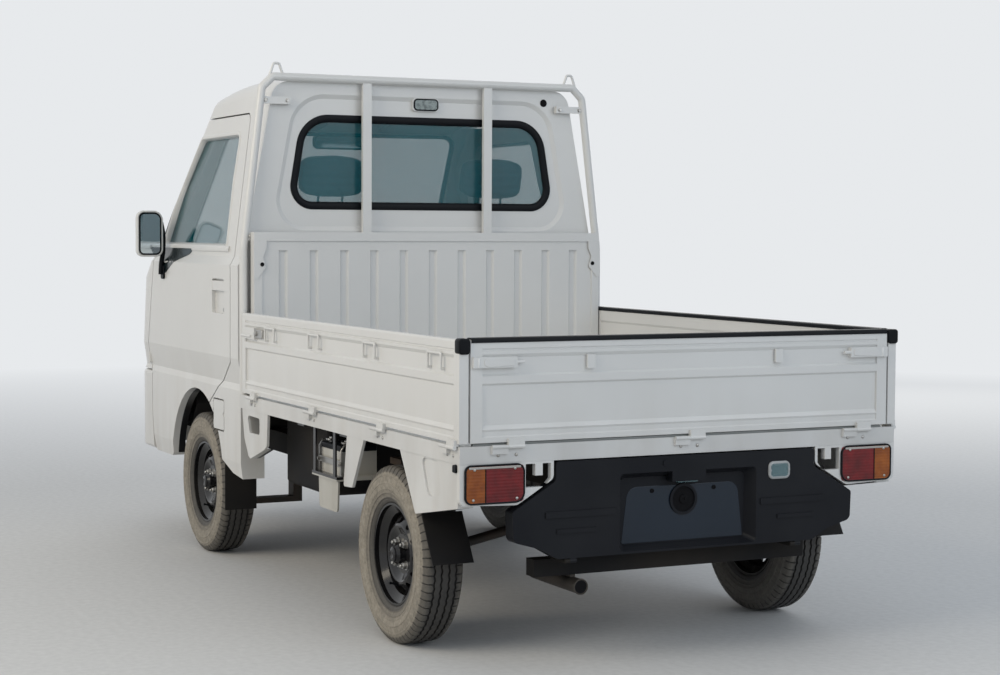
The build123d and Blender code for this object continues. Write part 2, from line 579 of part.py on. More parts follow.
# Hanging sheets on the sill: side-view outline, corner radii and the depth that each reaches
BRACKET_Y = (BED_HALF - 12, BED_HALF - 3)
front_sheet = side_prism([
    (BED_FRONT_X - 21, 612), (BED_FRONT_X - 46, 500), (BED_FRONT_X - 91, 440), (BED_FRONT_X - 112, 432),
    (BED_FRONT_X - 261, 478), (BED_FRONT_X - 290, 494), (BED_FRONT_X - 300, 612)],
    *BRACKET_Y, [0, 20, 20, 10, 10, 14, 0])
front_sheet = front_sheet - side_prism([
    (BED_FRONT_X - 81, 586), (BED_FRONT_X - 213, 584), (BED_FRONT_X - 213, 526), (BED_FRONT_X - 104, 525)],
    600, 900, [12] * 4)
front_rim = side_prism([
    (BED_FRONT_X - 112, 432), (BED_FRONT_X - 261, 478), (BED_FRONT_X - 261, 482), (BED_FRONT_X - 112, 436)],
    BED_HALF - 40, BED_HALF - 6)
stay = side_prism([
    (REAR_AXLE_X + 275, 612), (REAR_AXLE_X + 131, 612), (REAR_AXLE_X + 231, 447), (REAR_AXLE_X + 304, 443)],
    *BRACKET_Y, [0, 0, 8, 8])
sheet_end = BODY_REAR_X + LAMP_PANEL_THICK + FIT
rear_sheet = side_prism([
    (REAR_AXLE_X - 146, 612), (REAR_AXLE_X - 264, 431), (sheet_end, 483), (sheet_end, 612)],
    BED_HALF - 13, BED_HALF - 3, [0, 10, 0, 0])
rear_sheet = rear_sheet - side_prism([
    (REAR_AXLE_X - 308, 602), (REAR_AXLE_X - 423, 602), (REAR_AXLE_X - 445, 505), (REAR_AXLE_X - 354, 492)],
    BED_HALF - 9, 900, [16, 14, 14, 30])
rear_rim = side_prism([
    (REAR_AXLE_X - 146, 612), (REAR_AXLE_X - 264, 431), (sheet_end, 483), (sheet_end, 488),
    (REAR_AXLE_X - 262, 437), (REAR_AXLE_X - 152, 612)], BED_HALF - 50, BED_HALF - 6)
for sheet in (front_sheet, front_rim, stay, rear_sheet, rear_rim):
    for half in both_sides(sheet):
        bed = bed + half
side_hinges = [BED_FRONT_X - 39 - step for step in SIDE_HINGES_FROM_FRONT]
side_hinges += [BODY_REAR_X + step for step in SIDE_HINGES_FROM_REAR]
for x in side_hinges:
    fixed = rod((x + FIT, SIDE_HINGE_Y, HINGE_Z), (x + HINGE_LENGTH / 2, SIDE_HINGE_Y, HINGE_Z),
                HINGE_RADIUS)
    fixed = fixed + block((x + FIT, x + HINGE_LENGTH / 2), (BED_HALF - 3, SIDE_HINGE_Y + 2),
                          (HINGE_Z - 20, HINGE_Z))
    for half in both_sides(fixed):
        bed = bed + half
tail_hinges = (-TAIL_HINGE_Y, 0.0, TAIL_HINGE_Y)
for y in tail_hinges:
    bed = bed + rod((TAIL_HINGE_X, y + FIT, HINGE_Z), (TAIL_HINGE_X, y + HINGE_LENGTH / 2, HINGE_Z),
                    HINGE_RADIUS)
    bed = bed + block((TAIL_HINGE_X - 2, BODY_REAR_X + 1), (y + FIT, y + HINGE_LENGTH / 2),
                      (HINGE_Z - 20, HINGE_Z))
save("bed_floor", bed)

# Headboard: flats split by narrow grooves pressed forward, a top rail and two end posts
HEAD_HALF = TAIL_HALF
HEAD_FACE_X = HEAD_X - 9
GROOVE_MOUTH = 17.0
GROOVE_FLOOR = 9.0
HEAD_RAIL_Z = HEAD_TOP_Z + 32
plan_points = [(HEAD_FACE_X + HEAD_SHEET, HEAD_HALF - 20), (HEAD_FACE_X, HEAD_HALF - 20)]
for index in range(5, -6, -1):
    y = index * HEAD_PITCH
    plan_points += [(HEAD_FACE_X, y + GROOVE_MOUTH), (HEAD_X, y + GROOVE_FLOOR),
                    (HEAD_X, y - GROOVE_FLOOR), (HEAD_FACE_X, y - GROOVE_MOUTH)]
plan_points += [(HEAD_FACE_X, 20 - HEAD_HALF), (HEAD_FACE_X + HEAD_SHEET, 20 - HEAD_HALF)]
for index in range(-5, 6):
    y = index * HEAD_PITCH
    plan_points += [(HEAD_FACE_X + HEAD_SHEET, y - GROOVE_MOUTH - 3),
                    (HEAD_X + HEAD_SHEET, y - GROOVE_FLOOR - 3),
                    (HEAD_X + HEAD_SHEET, y + GROOVE_FLOOR + 3),
                    (HEAD_FACE_X + HEAD_SHEET, y + GROOVE_MOUTH + 3)]
head = plan_prism(plan_points, BED_FLOOR_Z + BEAD_HEIGHT, HEAD_TOP_Z)
head = head + block((HEAD_X - 14, HEAD_X + 24), (-HEAD_HALF, HEAD_HALF), (HEAD_TOP_Z, HEAD_RAIL_Z))
head = head + block((HEAD_X - 9, HEAD_X + 10), (-HEAD_HALF, HEAD_HALF), (HEAD_TOP_Z - 34, HEAD_TOP_Z))
for side in (1, -1):
    post = block((HEAD_X - 14, HEAD_X + 24), (side * (HEAD_HALF - 30), side * HEAD_HALF),
                 (BED_FLOOR_Z, HEAD_TOP_Z))
    head = head + post
save("headboard", head)

# Guard frame: bent tube, two uprights, cross bar and rope ears
guard_turns = [(GUARD_FOOT_Y, BED_FLOOR_Z), (GUARD_FOOT_Y, 1182), (652, 1760), (610, GUARD_TOP_Z)]
guard_turns += [(-y, z) for y, z in reversed(guard_turns)]
guard_path = FilletPolyline(*[(GUARD_X, y, z) for y, z in guard_turns], radius=[200, 30, 20, 20, 30, 200])
guard_start = Plane(origin=(GUARD_X, GUARD_FOOT_Y, BED_FLOOR_Z), z_dir=(0, 0, 1))
guard = sweep(guard_start * Circle(TUBE_RADIUS), path=guard_path)
CROSS_BAR_Z = (1210.0, 1240.0)
for y in (UPRIGHT_Y, -UPRIGHT_Y):
    guard = guard + block((GUARD_X - 8, GUARD_X + 8), (y - 17, y + 17), (CROSS_BAR_Z[0], GUARD_TOP_Z))
guard = guard + block((GUARD_X - 12, GUARD_X + 12), (-715, 715), CROSS_BAR_Z)
EAR_Y = 596.0
for side in (1, -1):
    ear = [(GUARD_X, side * (EAR_Y - 26), GUARD_TOP_Z + 4), (GUARD_X, side * (EAR_Y - 10), GUARD_TOP_Z + 48),
           (GUARD_X, side * (EAR_Y + 10), GUARD_TOP_Z + 48), (GUARD_X, side * (EAR_Y + 26), GUARD_TOP_Z + 4)]
    guard = guard + bent_rod(ear, 8, 5)
    strap = block((GUARD_X - 5, GUARD_X + 14), (side * 540, side * 662), (1702, 1728))
    guard = guard + strap
save("guard_frame", guard)

# Gates share one section across their thickness: depth from the outer face at each level
GATE_SECTION = [
    (0.0, GATE_LOW_Z), (0.0, 678), (3.0, 682), (3.0, 694), (0.0, BAND_Z), (6.0, BAND_Z + 12),
    (6.0, RIDGE_Z - 16),
    (0.0, RIDGE_Z - 10), (0.0, RIDGE_Z + 10), (6.0, RIDGE_Z + 16), (6.0, RAIL_LOW_Z - 4),
    (0.0, RAIL_LOW_Z + 6),
    (0.0, RAIL_LOW_Z + 14), (3.0, RAIL_LOW_Z + 16), (3.0, RAIL_LOW_Z + 20), (0.0, RAIL_LOW_Z + 22),
    (0.0, GATE_TOP_Z - 6), (4.0, GATE_TOP_Z), (GATE_THICK - 4, GATE_TOP_Z), (GATE_THICK, GATE_TOP_Z - 6),
    (GATE_THICK, RAIL_LOW_Z), (GATE_THICK - 5, RAIL_LOW_Z - 8), (GATE_THICK - 5, BAND_Z + 8),
    (GATE_THICK, BAND_Z),
    (GATE_THICK, GATE_LOW_Z),
]
LATCH_Z = (862.0, 903.0)
HOOK_STEPS = (312.0, 742.0, 1223.0, 1710.0)
HOOK_ROD = 4.0
HOOK_OFF = 6.0

# Side gate
side_section = [(GATE_OUTER_Y - depth, z) for depth, z in GATE_SECTION]
gate = rear_prism(side_section, BODY_REAR_X, GATE_FRONT_X)
for x_span in ((BODY_REAR_X, BODY_REAR_X + 36), (GATE_FRONT_X - 36, GATE_FRONT_X)):
    gate = gate + block(x_span, (GATE_INNER_Y, GATE_OUTER_Y), (GATE_LOW_Z, GATE_TOP_Z - 6))
hook_y = GATE_OUTER_Y + HOOK_OFF
foot_y = GATE_OUTER_Y - 9
for step in HOOK_STEPS:
    x = GATE_FRONT_X - step
    hook = bent_rod([(x - 46, foot_y, 864), (x - 46, hook_y, 864), (x - 46, hook_y, 908),
                     (x + 46, hook_y, 908), (x + 46, hook_y, 864), (x + 46, foot_y, 864)], 5, HOOK_ROD)
    gate = gate + hook
latch = block((GATE_FRONT_X - 150, GATE_FRONT_X - 32), (GATE_OUTER_Y - 8, GATE_OUTER_Y + 7), LATCH_Z)
gate = gate + latch
gate = gate + rod((GATE_FRONT_X - 120, GATE_OUTER_Y + 8, 872), (GATE_FRONT_X - 20, GATE_OUTER_Y + 8, 872), 5)
LEAF_TOP_Z = HINGE_Z + 14
for x in side_hinges:
    gate = gate + rod((x - HINGE_LENGTH / 2, SIDE_HINGE_Y, HINGE_Z), (x, SIDE_HINGE_Y, HINGE_Z),
                      HINGE_RADIUS)
    gate = gate + block((x - HINGE_LENGTH / 2, x), (GATE_OUTER_Y - 4, SIDE_HINGE_Y + 3),
                        (HINGE_Z + 4, LEAF_TOP_Z + 8))
save("gate_left", gate)
save("gate_right", mirror(gate, about=Plane.XZ))

# Tailgate
tail_section = [(BODY_REAR_X + depth, z) for depth, z in GATE_SECTION]
tail = side_prism(tail_section, -TAIL_HALF, TAIL_HALF)
for side in (1, -1):
    end_span = (side * (TAIL_HALF - 36), side * TAIL_HALF)
    tail = tail + block((BODY_REAR_X, BODY_REAR_X + GATE_THICK), end_span, (GATE_LOW_Z, GATE_TOP_Z - 6))
    tail = tail + block((BODY_REAR_X - 11, BODY_REAR_X + 8), (side * 562, side * (TAIL_HALF - 4)),
                        (872, 902))
    tail = tail + rod((BODY_REAR_X - 6, side * 540, 887), (BODY_REAR_X - 6, side * 570, 887), 5)
for y in tail_hinges:
    tail = tail + rod((TAIL_HINGE_X, y - HINGE_LENGTH / 2, HINGE_Z), (TAIL_HINGE_X, y, HINGE_Z),
                      HINGE_RADIUS)
    tail = tail + block((TAIL_HINGE_X - 3, BODY_REAR_X + 4), (y - HINGE_LENGTH / 2, y),
                        (HINGE_Z + 4, LEAF_TOP_Z + 8))
save("tailgate", tail)

# Rear lamp panels and lamps
PANEL_TOP_Z = SILL_BOTTOM_Z - FIT
LAMP_PANEL = [(BED_HALF, PANEL_TOP_Z), (BED_HALF, 492), (556, 486), (442, 555), (442, PANEL_TOP_Z)]
lamp_panel = rear_prism(LAMP_PANEL, BODY_REAR_X, BODY_REAR_X + LAMP_PANEL_THICK, [0, 18, 30, 20, 0])
LAMP_LOW = (BED_HALF - 195, 497)
LAMP_HIGH = (BED_HALF - 17, 601)
lamp_panel = lamp_panel - rear_prism(rectangle(LAMP_LOW, LAMP_HIGH), BODY_REAR_X - 5, BODY_REAR_X + 30,
                                     [10] * 4)
NOTCH_TOP_Z = PANEL_TOP_Z - 6
NOTCH = [(530, 534), (530, NOTCH_TOP_Z), (500, NOTCH_TOP_Z), (500, 566), (477, 566), (477, NOTCH_TOP_Z),
         (451, NOTCH_TOP_Z), (451, 557), (470, 534)]
lamp_panel = lamp_panel - rear_prism(NOTCH, BODY_REAR_X - 5, BODY_REAR_X + 30)
save("rear_lamp_panels", *both_sides(lamp_panel))
lamp_face = offset(outline(rectangle(LAMP_LOW, LAMP_HIGH), [10] * 4), amount=-FIT)
tail_lamp = extrude(Plane(origin=(BODY_REAR_X - 5, 0, 0), x_dir=(0, 1, 0), z_dir=(1, 0, 0)) * lamp_face,
                    amount=35)
save("tail_lamps", *both_sides(tail_lamp))

# Engine lid: black rear skirt with the plate pocket, ribs and the lamp's housing
LID_DEPTH = 48.0
LID_SHEET = 8.0
lid_half = [(436, 602), (436, 548), (550, 480), (572, 466), (569, 381), (487, 358), (430, 326)]
lid_outline = lid_half + [(-y, z) for y, z in reversed(lid_half)]
half_radii = [10, 14, 12, 10, 20, 40, 20]
lid_radii = half_radii + half_radii[::-1]
skirt = rear_prism(lid_outline, LID_X, LID_X + LID_DEPTH, lid_radii)
hollow = offset(outline(lid_outline, lid_radii), amount=-LID_SHEET)
hollow_plane = Plane(origin=(LID_X + LID_SHEET, 0, 0), x_dir=(0, 1, 0), z_dir=(1, 0, 0))
skirt = skirt - extrude(hollow_plane * hollow, amount=LID_DEPTH)
POCKET_MOUTH = ((-231, 332), (231, 557))
POCKET_FLOOR = ((-210, 346), (210, 540))
wall = rear_pocket(((-237, 326), (237, 563)), ((-217, 338), (217, 547)), LID_X, PLATE_FACE_X + LID_SHEET, 16)
skirt = skirt + wall
lamp_house = block((LID_X, LID_X + 34), (-57, 57), (526, 571))
skirt = skirt - rear_pocket(POCKET_MOUTH, POCKET_FLOOR, LID_X - 0.2, PLATE_FACE_X, 14) + lamp_house
skirt = skirt & rear_prism(lid_outline, LID_X - 20, LID_X + 90, lid_radii)
skirt = skirt + rod((LID_X + 30, 0, 469), (LID_X + 62, 0, 469), 46)
skirt = skirt - rod((LID_X, 0, 469), (LID_X + 56, 0, 469), 38)
skirt = skirt + rod((LID_X + 40, 0, 469), (LID_X + 60, 0, 469), 14)
RIB_TABLE = ((245, 470, 443, 461), (305, 434, 398, 410))
for y_low, y_high, z_low, z_high in RIB_TABLE:
    for side in (1, -1):
        skirt = skirt + block((LID_X - 4, LID_X + 4), (side * y_low, side * y_high), (z_low, z_high))
skirt = skirt + rod((LID_X - 3, 80, 582), (LID_X + 4, 80, 582), 9)
LUG_WIDTH = 20.0
for y in LID_HINGE_YS:
    skirt = skirt + rod((LID_AXIS_X, y, LID_AXIS_Z), (LID_AXIS_X, y + LUG_WIDTH, LID_AXIS_Z), HINGE_RADIUS)
    skirt = skirt + block((LID_AXIS_X - 4, LID_AXIS_X + 6), (y, y + LUG_WIDTH),
                          (LID_AXIS_Z, LID_AXIS_Z + 30))
for y in (-PLATE_HOLE_PITCH / 2, PLATE_HOLE_PITCH / 2):
    skirt = skirt - rod((LID_X, y, PLATE_HOLE_Z), (LID_X + 60, y, PLATE_HOLE_Z), PLATE_HOLE_RADIUS)
save("engine_lid", skirt)

# Ladder frame: kicked-up rails, cross members, outriggers and the rear cross bar
RAIL_REAR_X = BODY_REAR_X + 84
KICK_X = CAB_REAR_X - 168
rail_profile = [
    (CAB + 1560, RAIL_LOW_Z_FRONT), (CAB + 1560, RAIL_LOW_TOP_Z), (CAB + 330, RAIL_LOW_TOP_Z),
    (KICK_X, CROSS_SILL_Z), (RAIL_REAR_X, CROSS_SILL_Z), (RAIL_REAR_X, 500), (KICK_X - 20, 500),
    (CAB + 300, RAIL_LOW_Z_FRONT),
]
rail = side_prism(rail_profile, RAIL_Y - RAIL_WIDTH / 2, RAIL_Y + RAIL_WIDTH / 2)
frame = rail + mirror(rail, about=Plane.XZ)
MEMBER_TABLE = ((CAB + 1530, 395), (CAB + 1150, 395), (CAB + 450, 395), (KICK_X - 220, 545),
                (REAR_AXLE_X + 407, 545), (RAIL_REAR_X + 25, 545))
for x, z in MEMBER_TABLE:
    frame = frame + block((x - 30, x + 30), (-RAIL_Y, RAIL_Y), (z - 30, z + 30))
frame = frame + block((RAIL_REAR_X, RAIL_REAR_X + 50), (-460, 460), (262, 312))
for side in (1, -1):
    frame = frame + block((RAIL_REAR_X, RAIL_REAR_X + 30), (side * 300, side * 335), (262, 510))
    span = (side * (RAIL_Y - RAIL_WIDTH / 2), side * (RAIL_Y + RAIL_WIDTH / 2))
    for x in (CAB + 1060, CAB + 1440):
        frame = frame + block((x - 25, x + 25), span, (RAIL_LOW_TOP_Z, FOOT_FLOOR_Z - FLOOR_SHEET))
    frame = frame + block((CAB + 430, CAB + 470), span, (RAIL_LOW_TOP_Z, PLATFORM_Z - FLOOR_SHEET))
for y in LID_HINGE_YS:
    near = y + LUG_WIDTH + FIT
    eye = rod((LID_AXIS_X, near, LID_AXIS_Z), (LID_AXIS_X, near + 16, LID_AXIS_Z), HINGE_RADIUS)
    frame = frame + eye + block((LID_AXIS_X, RAIL_REAR_X + 2), (near, near + 16),
                                (LID_AXIS_Z - 6, LID_AXIS_Z + 4))
save("ladder_frame", frame)

ENGINE_FRONT_X = REAR_AXLE_X - 83
save("engine_block", block((RAIL_REAR_X + 51, ENGINE_FRONT_X), (-250, 250), (300, 515)))
TANK_REAR_X = BED_FRONT_X - 601
save("fuel_tank", fillet(block((TANK_REAR_X, TANK_REAR_X + 420), (345, 620), (350, CROSS_SILL_Z)).edges(),
                         18))

# Battery on its tray, with two clamps and a lower cover
BATTERY_X = REAR_AXLE_X + 444
BATTERY_LENGTH = 186.0
TRAY_Z = 455.0
battery = block((BATTERY_X, BATTERY_X + BATTERY_LENGTH), (560, 680), (TRAY_Z, 549))
tray = block((BATTERY_X - 17, BATTERY_X + BATTERY_LENGTH + 22), (545, 706), (TRAY_Z - 14, TRAY_Z))
for x in (BATTERY_X - 5, BATTERY_X + BATTERY_LENGTH - 10):
    tray = tray + block((x, x + 20), (700, 706), (TRAY_Z - 14, SILL_BOTTOM_Z))
cover = side_prism([(BATTERY_X - 6, TRAY_Z - 13), (BATTERY_X + 2, 338), (BATTERY_X + 165, 338),
                    (BATTERY_X + 171, TRAY_Z - 13)], 690, 696, [0, 16, 16, 0])
save("battery_tray", battery + tray + cover)

# Wheels: one revolved rim and tyre, placed at each hub
half_w = TYRE_WIDTH / 2
BEAD_HALF = 52.0
tyre_points = [
    (BEAD_RADIUS, -50), (182, -62), (222, -half_w), (252, -62), (TYRE_RADIUS, -48),
    (TYRE_RADIUS, 48), (252, 62), (222, half_w), (182, 62), (BEAD_RADIUS, 50),
]
tyre = revolve(outline(tyre_points), axis=Axis.Y, revolution_arc=360)
bore = SPINDLE_RADIUS + SPINDLE_PLAY
seat_radius = BEAD_RADIUS - FIT
well_inner = RIM_WELL_RADIUS - RIM_WALL
rim_points = [
    (seat_radius, -BEAD_HALF), (seat_radius, -30), (RIM_WELL_RADIUS, -20), (RIM_WELL_RADIUS, 20),
    (seat_radius, 34), (seat_radius, BEAD_HALF), (BEAD_RADIUS - 7, BEAD_HALF), (BEAD_RADIUS - 7, 38),
    (well_inner, 22), (well_inner, 6), (92, 33), (86, 35), (80, 33), (60, 22), (30, 22),
    (30, 42), (24, BEAD_HALF), (bore, BEAD_HALF), (bore, -8), (60, -8), (60, 14), (80, 25), (90, 25),
    (well_inner, -4), (well_inner, -22), (BEAD_RADIUS - 7, -32), (BEAD_RADIUS - 7, -BEAD_HALF),
]
rim = revolve(outline(rim_points), axis=Axis.Y, revolution_arc=360)
for index in range(RIM_HOLES):
    angle = 360 / RIM_HOLES * index
    rim = rim - Rot(0, angle, 0) * Pos(RIM_HOLE_CIRCLE, 18, 0) * Rot(90, 0, 0) * Cylinder(RIM_HOLE_RADIUS,
                                                                                          60)
WHEELS = [("front_left", FRONT_AXLE_X, 1), ("front_right", FRONT_AXLE_X, -1),
          ("rear_left", REAR_AXLE_X, 1), ("rear_right", REAR_AXLE_X, -1)]
for name, x, side in WHEELS:
    for kind, shape in (("rim", rim), ("tyre", tyre)):
        placed = shape if side > 0 else mirror(shape, about=Plane.XZ)
        save(kind + "_" + name, Pos(x, side * WHEEL_Y, AXLE_Z) * placed)

# Steering knuckles on a leaned steering axis, each with a brake's backing plate
STEER_LOW = Vector(FRONT_AXLE_X, 594, 200)
STEER_TOP = Vector(FRONT_AXLE_X, 500, 640)
steer_dir = (STEER_TOP - STEER_LOW).normalized()
strut = rod(STEER_LOW + steer_dir * 1, STEER_TOP - steer_dir * 2.7, 20)
spindle_end = WHEEL_Y + SPINDLE_REACH
spindle = rod((FRONT_AXLE_X, 560, AXLE_Z), (FRONT_AXLE_X, spindle_end, AXLE_Z), SPINDLE_RADIUS)
upright = rod((FRONT_AXLE_X, 572, AXLE_Z), (FRONT_AXLE_X, 600, AXLE_Z), 40)
backing = rod((FRONT_AXLE_X, 572, AXLE_Z), (FRONT_AXLE_X, 578, AXLE_Z), 68)
knuckle = strut + spindle + upright + backing
save("knuckle_left", knuckle)
save("knuckle_right", mirror(knuckle, about=Plane.XZ))

# Fixed suspension pieces: strut tops, lower arms, rear drums on trailing arms
PIVOT_X = REAR_AXLE_X + 347
top_mount = block((FRONT_AXLE_X - 60, FRONT_AXLE_X + 60), (450, 550), (642, PLATFORM_Z - FLOOR_SHEET))
arm = block((FRONT_AXLE_X - 30, FRONT_AXLE_X + 30), (335, 610), (175, 196))
arm_post = block((FRONT_AXLE_X - 30, FRONT_AXLE_X + 30), (300, 336), (175, RAIL_LOW_Z_FRONT))
drum = rod((REAR_AXLE_X, 556, AXLE_Z), (REAR_AXLE_X, WHEEL_Y - 22, AXLE_Z), 98)
rear_hub = rod((REAR_AXLE_X, 540, AXLE_Z), (REAR_AXLE_X, WHEEL_Y - 22, AXLE_Z), 45)
rear_spindle = rod((REAR_AXLE_X, 540, AXLE_Z), (REAR_AXLE_X, spindle_end, AXLE_Z), SPINDLE_RADIUS)
half_shaft = rod((REAR_AXLE_X, 250 + FIT, AXLE_Z + 60), (REAR_AXLE_X, 545, AXLE_Z), 15)
trailing = side_prism([
    (REAR_AXLE_X - 40, 240), (REAR_AXLE_X + 40, 240), (PIVOT_X, 470), (PIVOT_X, 505), (PIVOT_X - 60, 505),
    (REAR_AXLE_X - 40, 300)], 480, 540)
pivot = block((PIVOT_X - 70, PIVOT_X + 20), (RAIL_Y + RAIL_WIDTH / 2, 545), (500, 520))
rear_side = drum + rear_hub + rear_spindle + half_shaft + trailing + pivot
save("suspension", *both_sides(top_mount), *both_sides(arm + arm_post), *both_sides(rear_side))

# Mud flaps: slanted behind the rear wheels, upright and stepped behind the front ones
FLAP_X = REAR_AXLE_X - 264
rear_flap = side_prism([(FLAP_X, 430.7), (FLAP_X - 84, 292), (FLAP_X - 89, 292), (FLAP_X - 5, 431.5)], 583,
                       712)
FRONT_FLAP_X = CAB + 424
FLAP_STEP_Y = LOWER_HALF - SIDE_WALL - 3
FLAP_TOP_Z = SILL_Z + 50.4
front_flap = rear_prism([
    (600, 430), (FLAP_STEP_Y, 430), (FLAP_STEP_Y, FLAP_TOP_Z), (LOWER_HALF - 4, FLAP_TOP_Z),
    (LOWER_HALF - 4, 205), (600, 205)],
    FRONT_FLAP_X, FRONT_FLAP_X + 4)
save("mud_flaps", *both_sides(rear_flap), *both_sides(front_flap))

pipe_end = BODY_REAR_X + 44
tail_pipe = rod((pipe_end, 330, 232), (pipe_end + 290, 330, 232), 22)
save("exhaust", tail_pipe + block((pipe_end + 50, pipe_end + 80), (322, 338), (240, 262)))
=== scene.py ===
import math
import bpy
import numpy as np
from mathutils import Matrix, Vector


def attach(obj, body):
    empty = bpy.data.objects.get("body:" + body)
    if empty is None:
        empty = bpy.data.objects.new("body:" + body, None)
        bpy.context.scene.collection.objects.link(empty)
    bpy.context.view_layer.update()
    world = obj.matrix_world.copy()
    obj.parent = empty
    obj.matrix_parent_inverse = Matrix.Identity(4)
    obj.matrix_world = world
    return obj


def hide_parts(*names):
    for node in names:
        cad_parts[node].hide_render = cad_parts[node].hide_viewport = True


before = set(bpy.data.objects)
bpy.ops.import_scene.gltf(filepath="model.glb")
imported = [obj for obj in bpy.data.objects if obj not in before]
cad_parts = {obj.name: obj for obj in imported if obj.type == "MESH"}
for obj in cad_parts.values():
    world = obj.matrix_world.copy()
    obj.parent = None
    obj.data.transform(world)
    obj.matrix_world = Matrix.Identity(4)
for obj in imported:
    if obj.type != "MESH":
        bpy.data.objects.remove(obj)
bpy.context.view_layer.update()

# The photograph's width in pixels, and its camera
PHOTO_WIDTH = 1000
FOCAL_PIXELS = 1962.1
SENSOR_WIDTH = 36.0
CAMERA_METRES = (-6.549, 2.972, 1.2515)
CAMERA_AZIMUTH, CAMERA_PITCH, CAMERA_ROLL = np.radians((25.88, 3.14, -0.26)).tolist()

# Sizes of the truck in millimetres, as its construction has them; +X forward, +Y left, +Z up
MM = 0.001
NOSE_X = 1697.5
FRONT_AXLE_X = 779.0
REAR_AXLE_X = -1107.0
AXLE_Z = 270.0
WHEEL_Y = 635.0
CAB_REAR_X = 228.0
BODY_REAR_X = -1684.0
FLOOR_Z = 655.0
GATE_FRONT_X = 182.0
GATE_OUTER_Y = 735.0
GATE_INNER_Y = 707.0
GATE_TOP_Z = 950.0
GATE_THICK = GATE_OUTER_Y - GATE_INNER_Y
TAIL_HALF = 701.0
HEADBOARD_X = 153.0
LID_X = -1688.0
SEAT_Y = 330.0
BOTH_SIDES = (("left", 1), ("right", -1))
FORWARD, REARWARD, LEFTWARD, UPWARD = (1, 0, 0), (-1, 0, 0), (0, 1, 0), (0, 0, 1)


# Meshes: a shell is an array of points in millimetres with its list of faces

def grid_faces(rows, columns, close_rows=False, close_columns=True):
    """Quads between neighbours of a grid, either way closed on itself if asked."""
    i, j = np.meshgrid(np.arange(rows if close_rows else rows - 1),
                       np.arange(columns if close_columns else columns - 1), indexing="ij")
    down, across = (i + 1) % rows, (j + 1) % columns
    quads = np.stack([i * columns + j, down * columns + j, down * columns + across, i * columns + across], -1)
    return quads.reshape(-1, 4).tolist()


def end_caps(rows, count):
    """One face over the first ring of a grid and one over its last."""
    return [list(range(count))[::-1], list(range((rows - 1) * count, rows * count))]


def pole_faces(rows, columns):
    """Faces of a grid of rings whose two ends close on poles, which follow the rings' points."""
    ring, last = np.arange(columns), (rows - 1) * columns
    after, pole = np.roll(ring, -1), np.full(columns, rows * columns)
    return (grid_faces(rows, columns) + np.stack([ring, after, pole], 1).tolist()
            + np.stack([after + last, ring + last, pole + 1], 1).tolist())


def outward(points, faces):
    """Turn a closed shell's faces round if its signed volume is negative."""
    volume = 0.0
    for size in {len(face) for face in faces}:
        corners = points[np.array([face for face in faces if len(face) == size])]
        for k in range(1, size - 1):
            volume += np.einsum("ij,ij->i", corners[:, 0], np.cross(corners[:, k], corners[:, k + 1])).sum()
    return points, faces if volume > 0 else [face[::-1] for face in faces]


def join(shells):
    """One shell from several."""
    starts = np.cumsum([0] + [len(points) for points, _ in shells])
    faces = [[start + index for index in face]
             for start, (_, some) in zip(starts.tolist(), shells) for face in some]
    return np.concatenate([points for points, _ in shells]), faces


def mirrored(shell):
    """The shell's mirror image across the middle, with its faces turned back out."""
    points, faces = shell
    return points * np.array([1, -1, 1]), [face[::-1] for face in faces]


def add_object(name, data):
    """Object at the origin with its data."""
    added = bpy.data.objects.new(name, data)
    bpy.context.collection.objects.link(added)
    return added


def dress(mesh, material):
    """Give a mesh its material and smooth shading."""
    mesh.materials.clear()
    mesh.materials.append(MATERIALS[material])
    mesh.polygons.foreach_set("use_smooth", np.ones(len(mesh.polygons), dtype=bool))


def make_piece(name, shell, material, body="chassis", slot=None, smooth_angle=40.0):
    """Object from a shell or a list of them, riding on a body; its slot, or its material's own, is worked out
    but not given to it.
    """
    points, faces = join(shell) if isinstance(shell, list) else shell
    mesh = bpy.data.meshes.new(name)
    mesh.from_pydata((points * MM).tolist(), [], faces)
    dress(mesh, material)
    mesh.set_sharp_from_angle(angle=math.radians(smooth_angle))
    piece = add_object(name, mesh)
    slot = slot or SLOTS[material]
    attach(piece, body)
    return piece


def make_pair(name, shell, material, body="chassis", slot=None):
    """A left piece and its mirror image, on a body named for each side if the name has a gap for it."""
    left = join(shell) if isinstance(shell, list) else shell
    return [make_piece(name + "_" + side, turned, material, body.format(side), slot)
            for side, turned in (("left", left), ("right", mirrored(left)))]


def unit(vectors):
    """Each row scaled to a length of one."""
    return vectors / np.maximum(np.linalg.norm(vectors, axis=-1, keepdims=True), 1e-9)


def rounded_outline(corners, radii, steps=8):
    """Closed outline with each corner replaced by an arc of its radius, counter-clockwise."""
    corners, radii = np.array(corners, dtype=float), np.array(radii, dtype=float)
    before = unit(np.roll(corners, 1, 0) - corners)
    after = unit(np.roll(corners, -1, 0) - corners)
    half = np.arccos(np.clip((before * after).sum(1), -1, 1)) / 2
    reach = (radii / np.tan(half))[:, None]
    centre = corners + unit(before + after) * (radii / np.sin(half))[:, None]
    start, end = corners + before * reach - centre, corners + after * reach - centre
    t = np.linspace(0, 1, steps)[None, :, None]
    arc = unit(start[:, None] * (1 - t) + end[:, None] * t) * radii[:, None, None]
    return (centre[:, None] + arc).reshape(-1, 2)


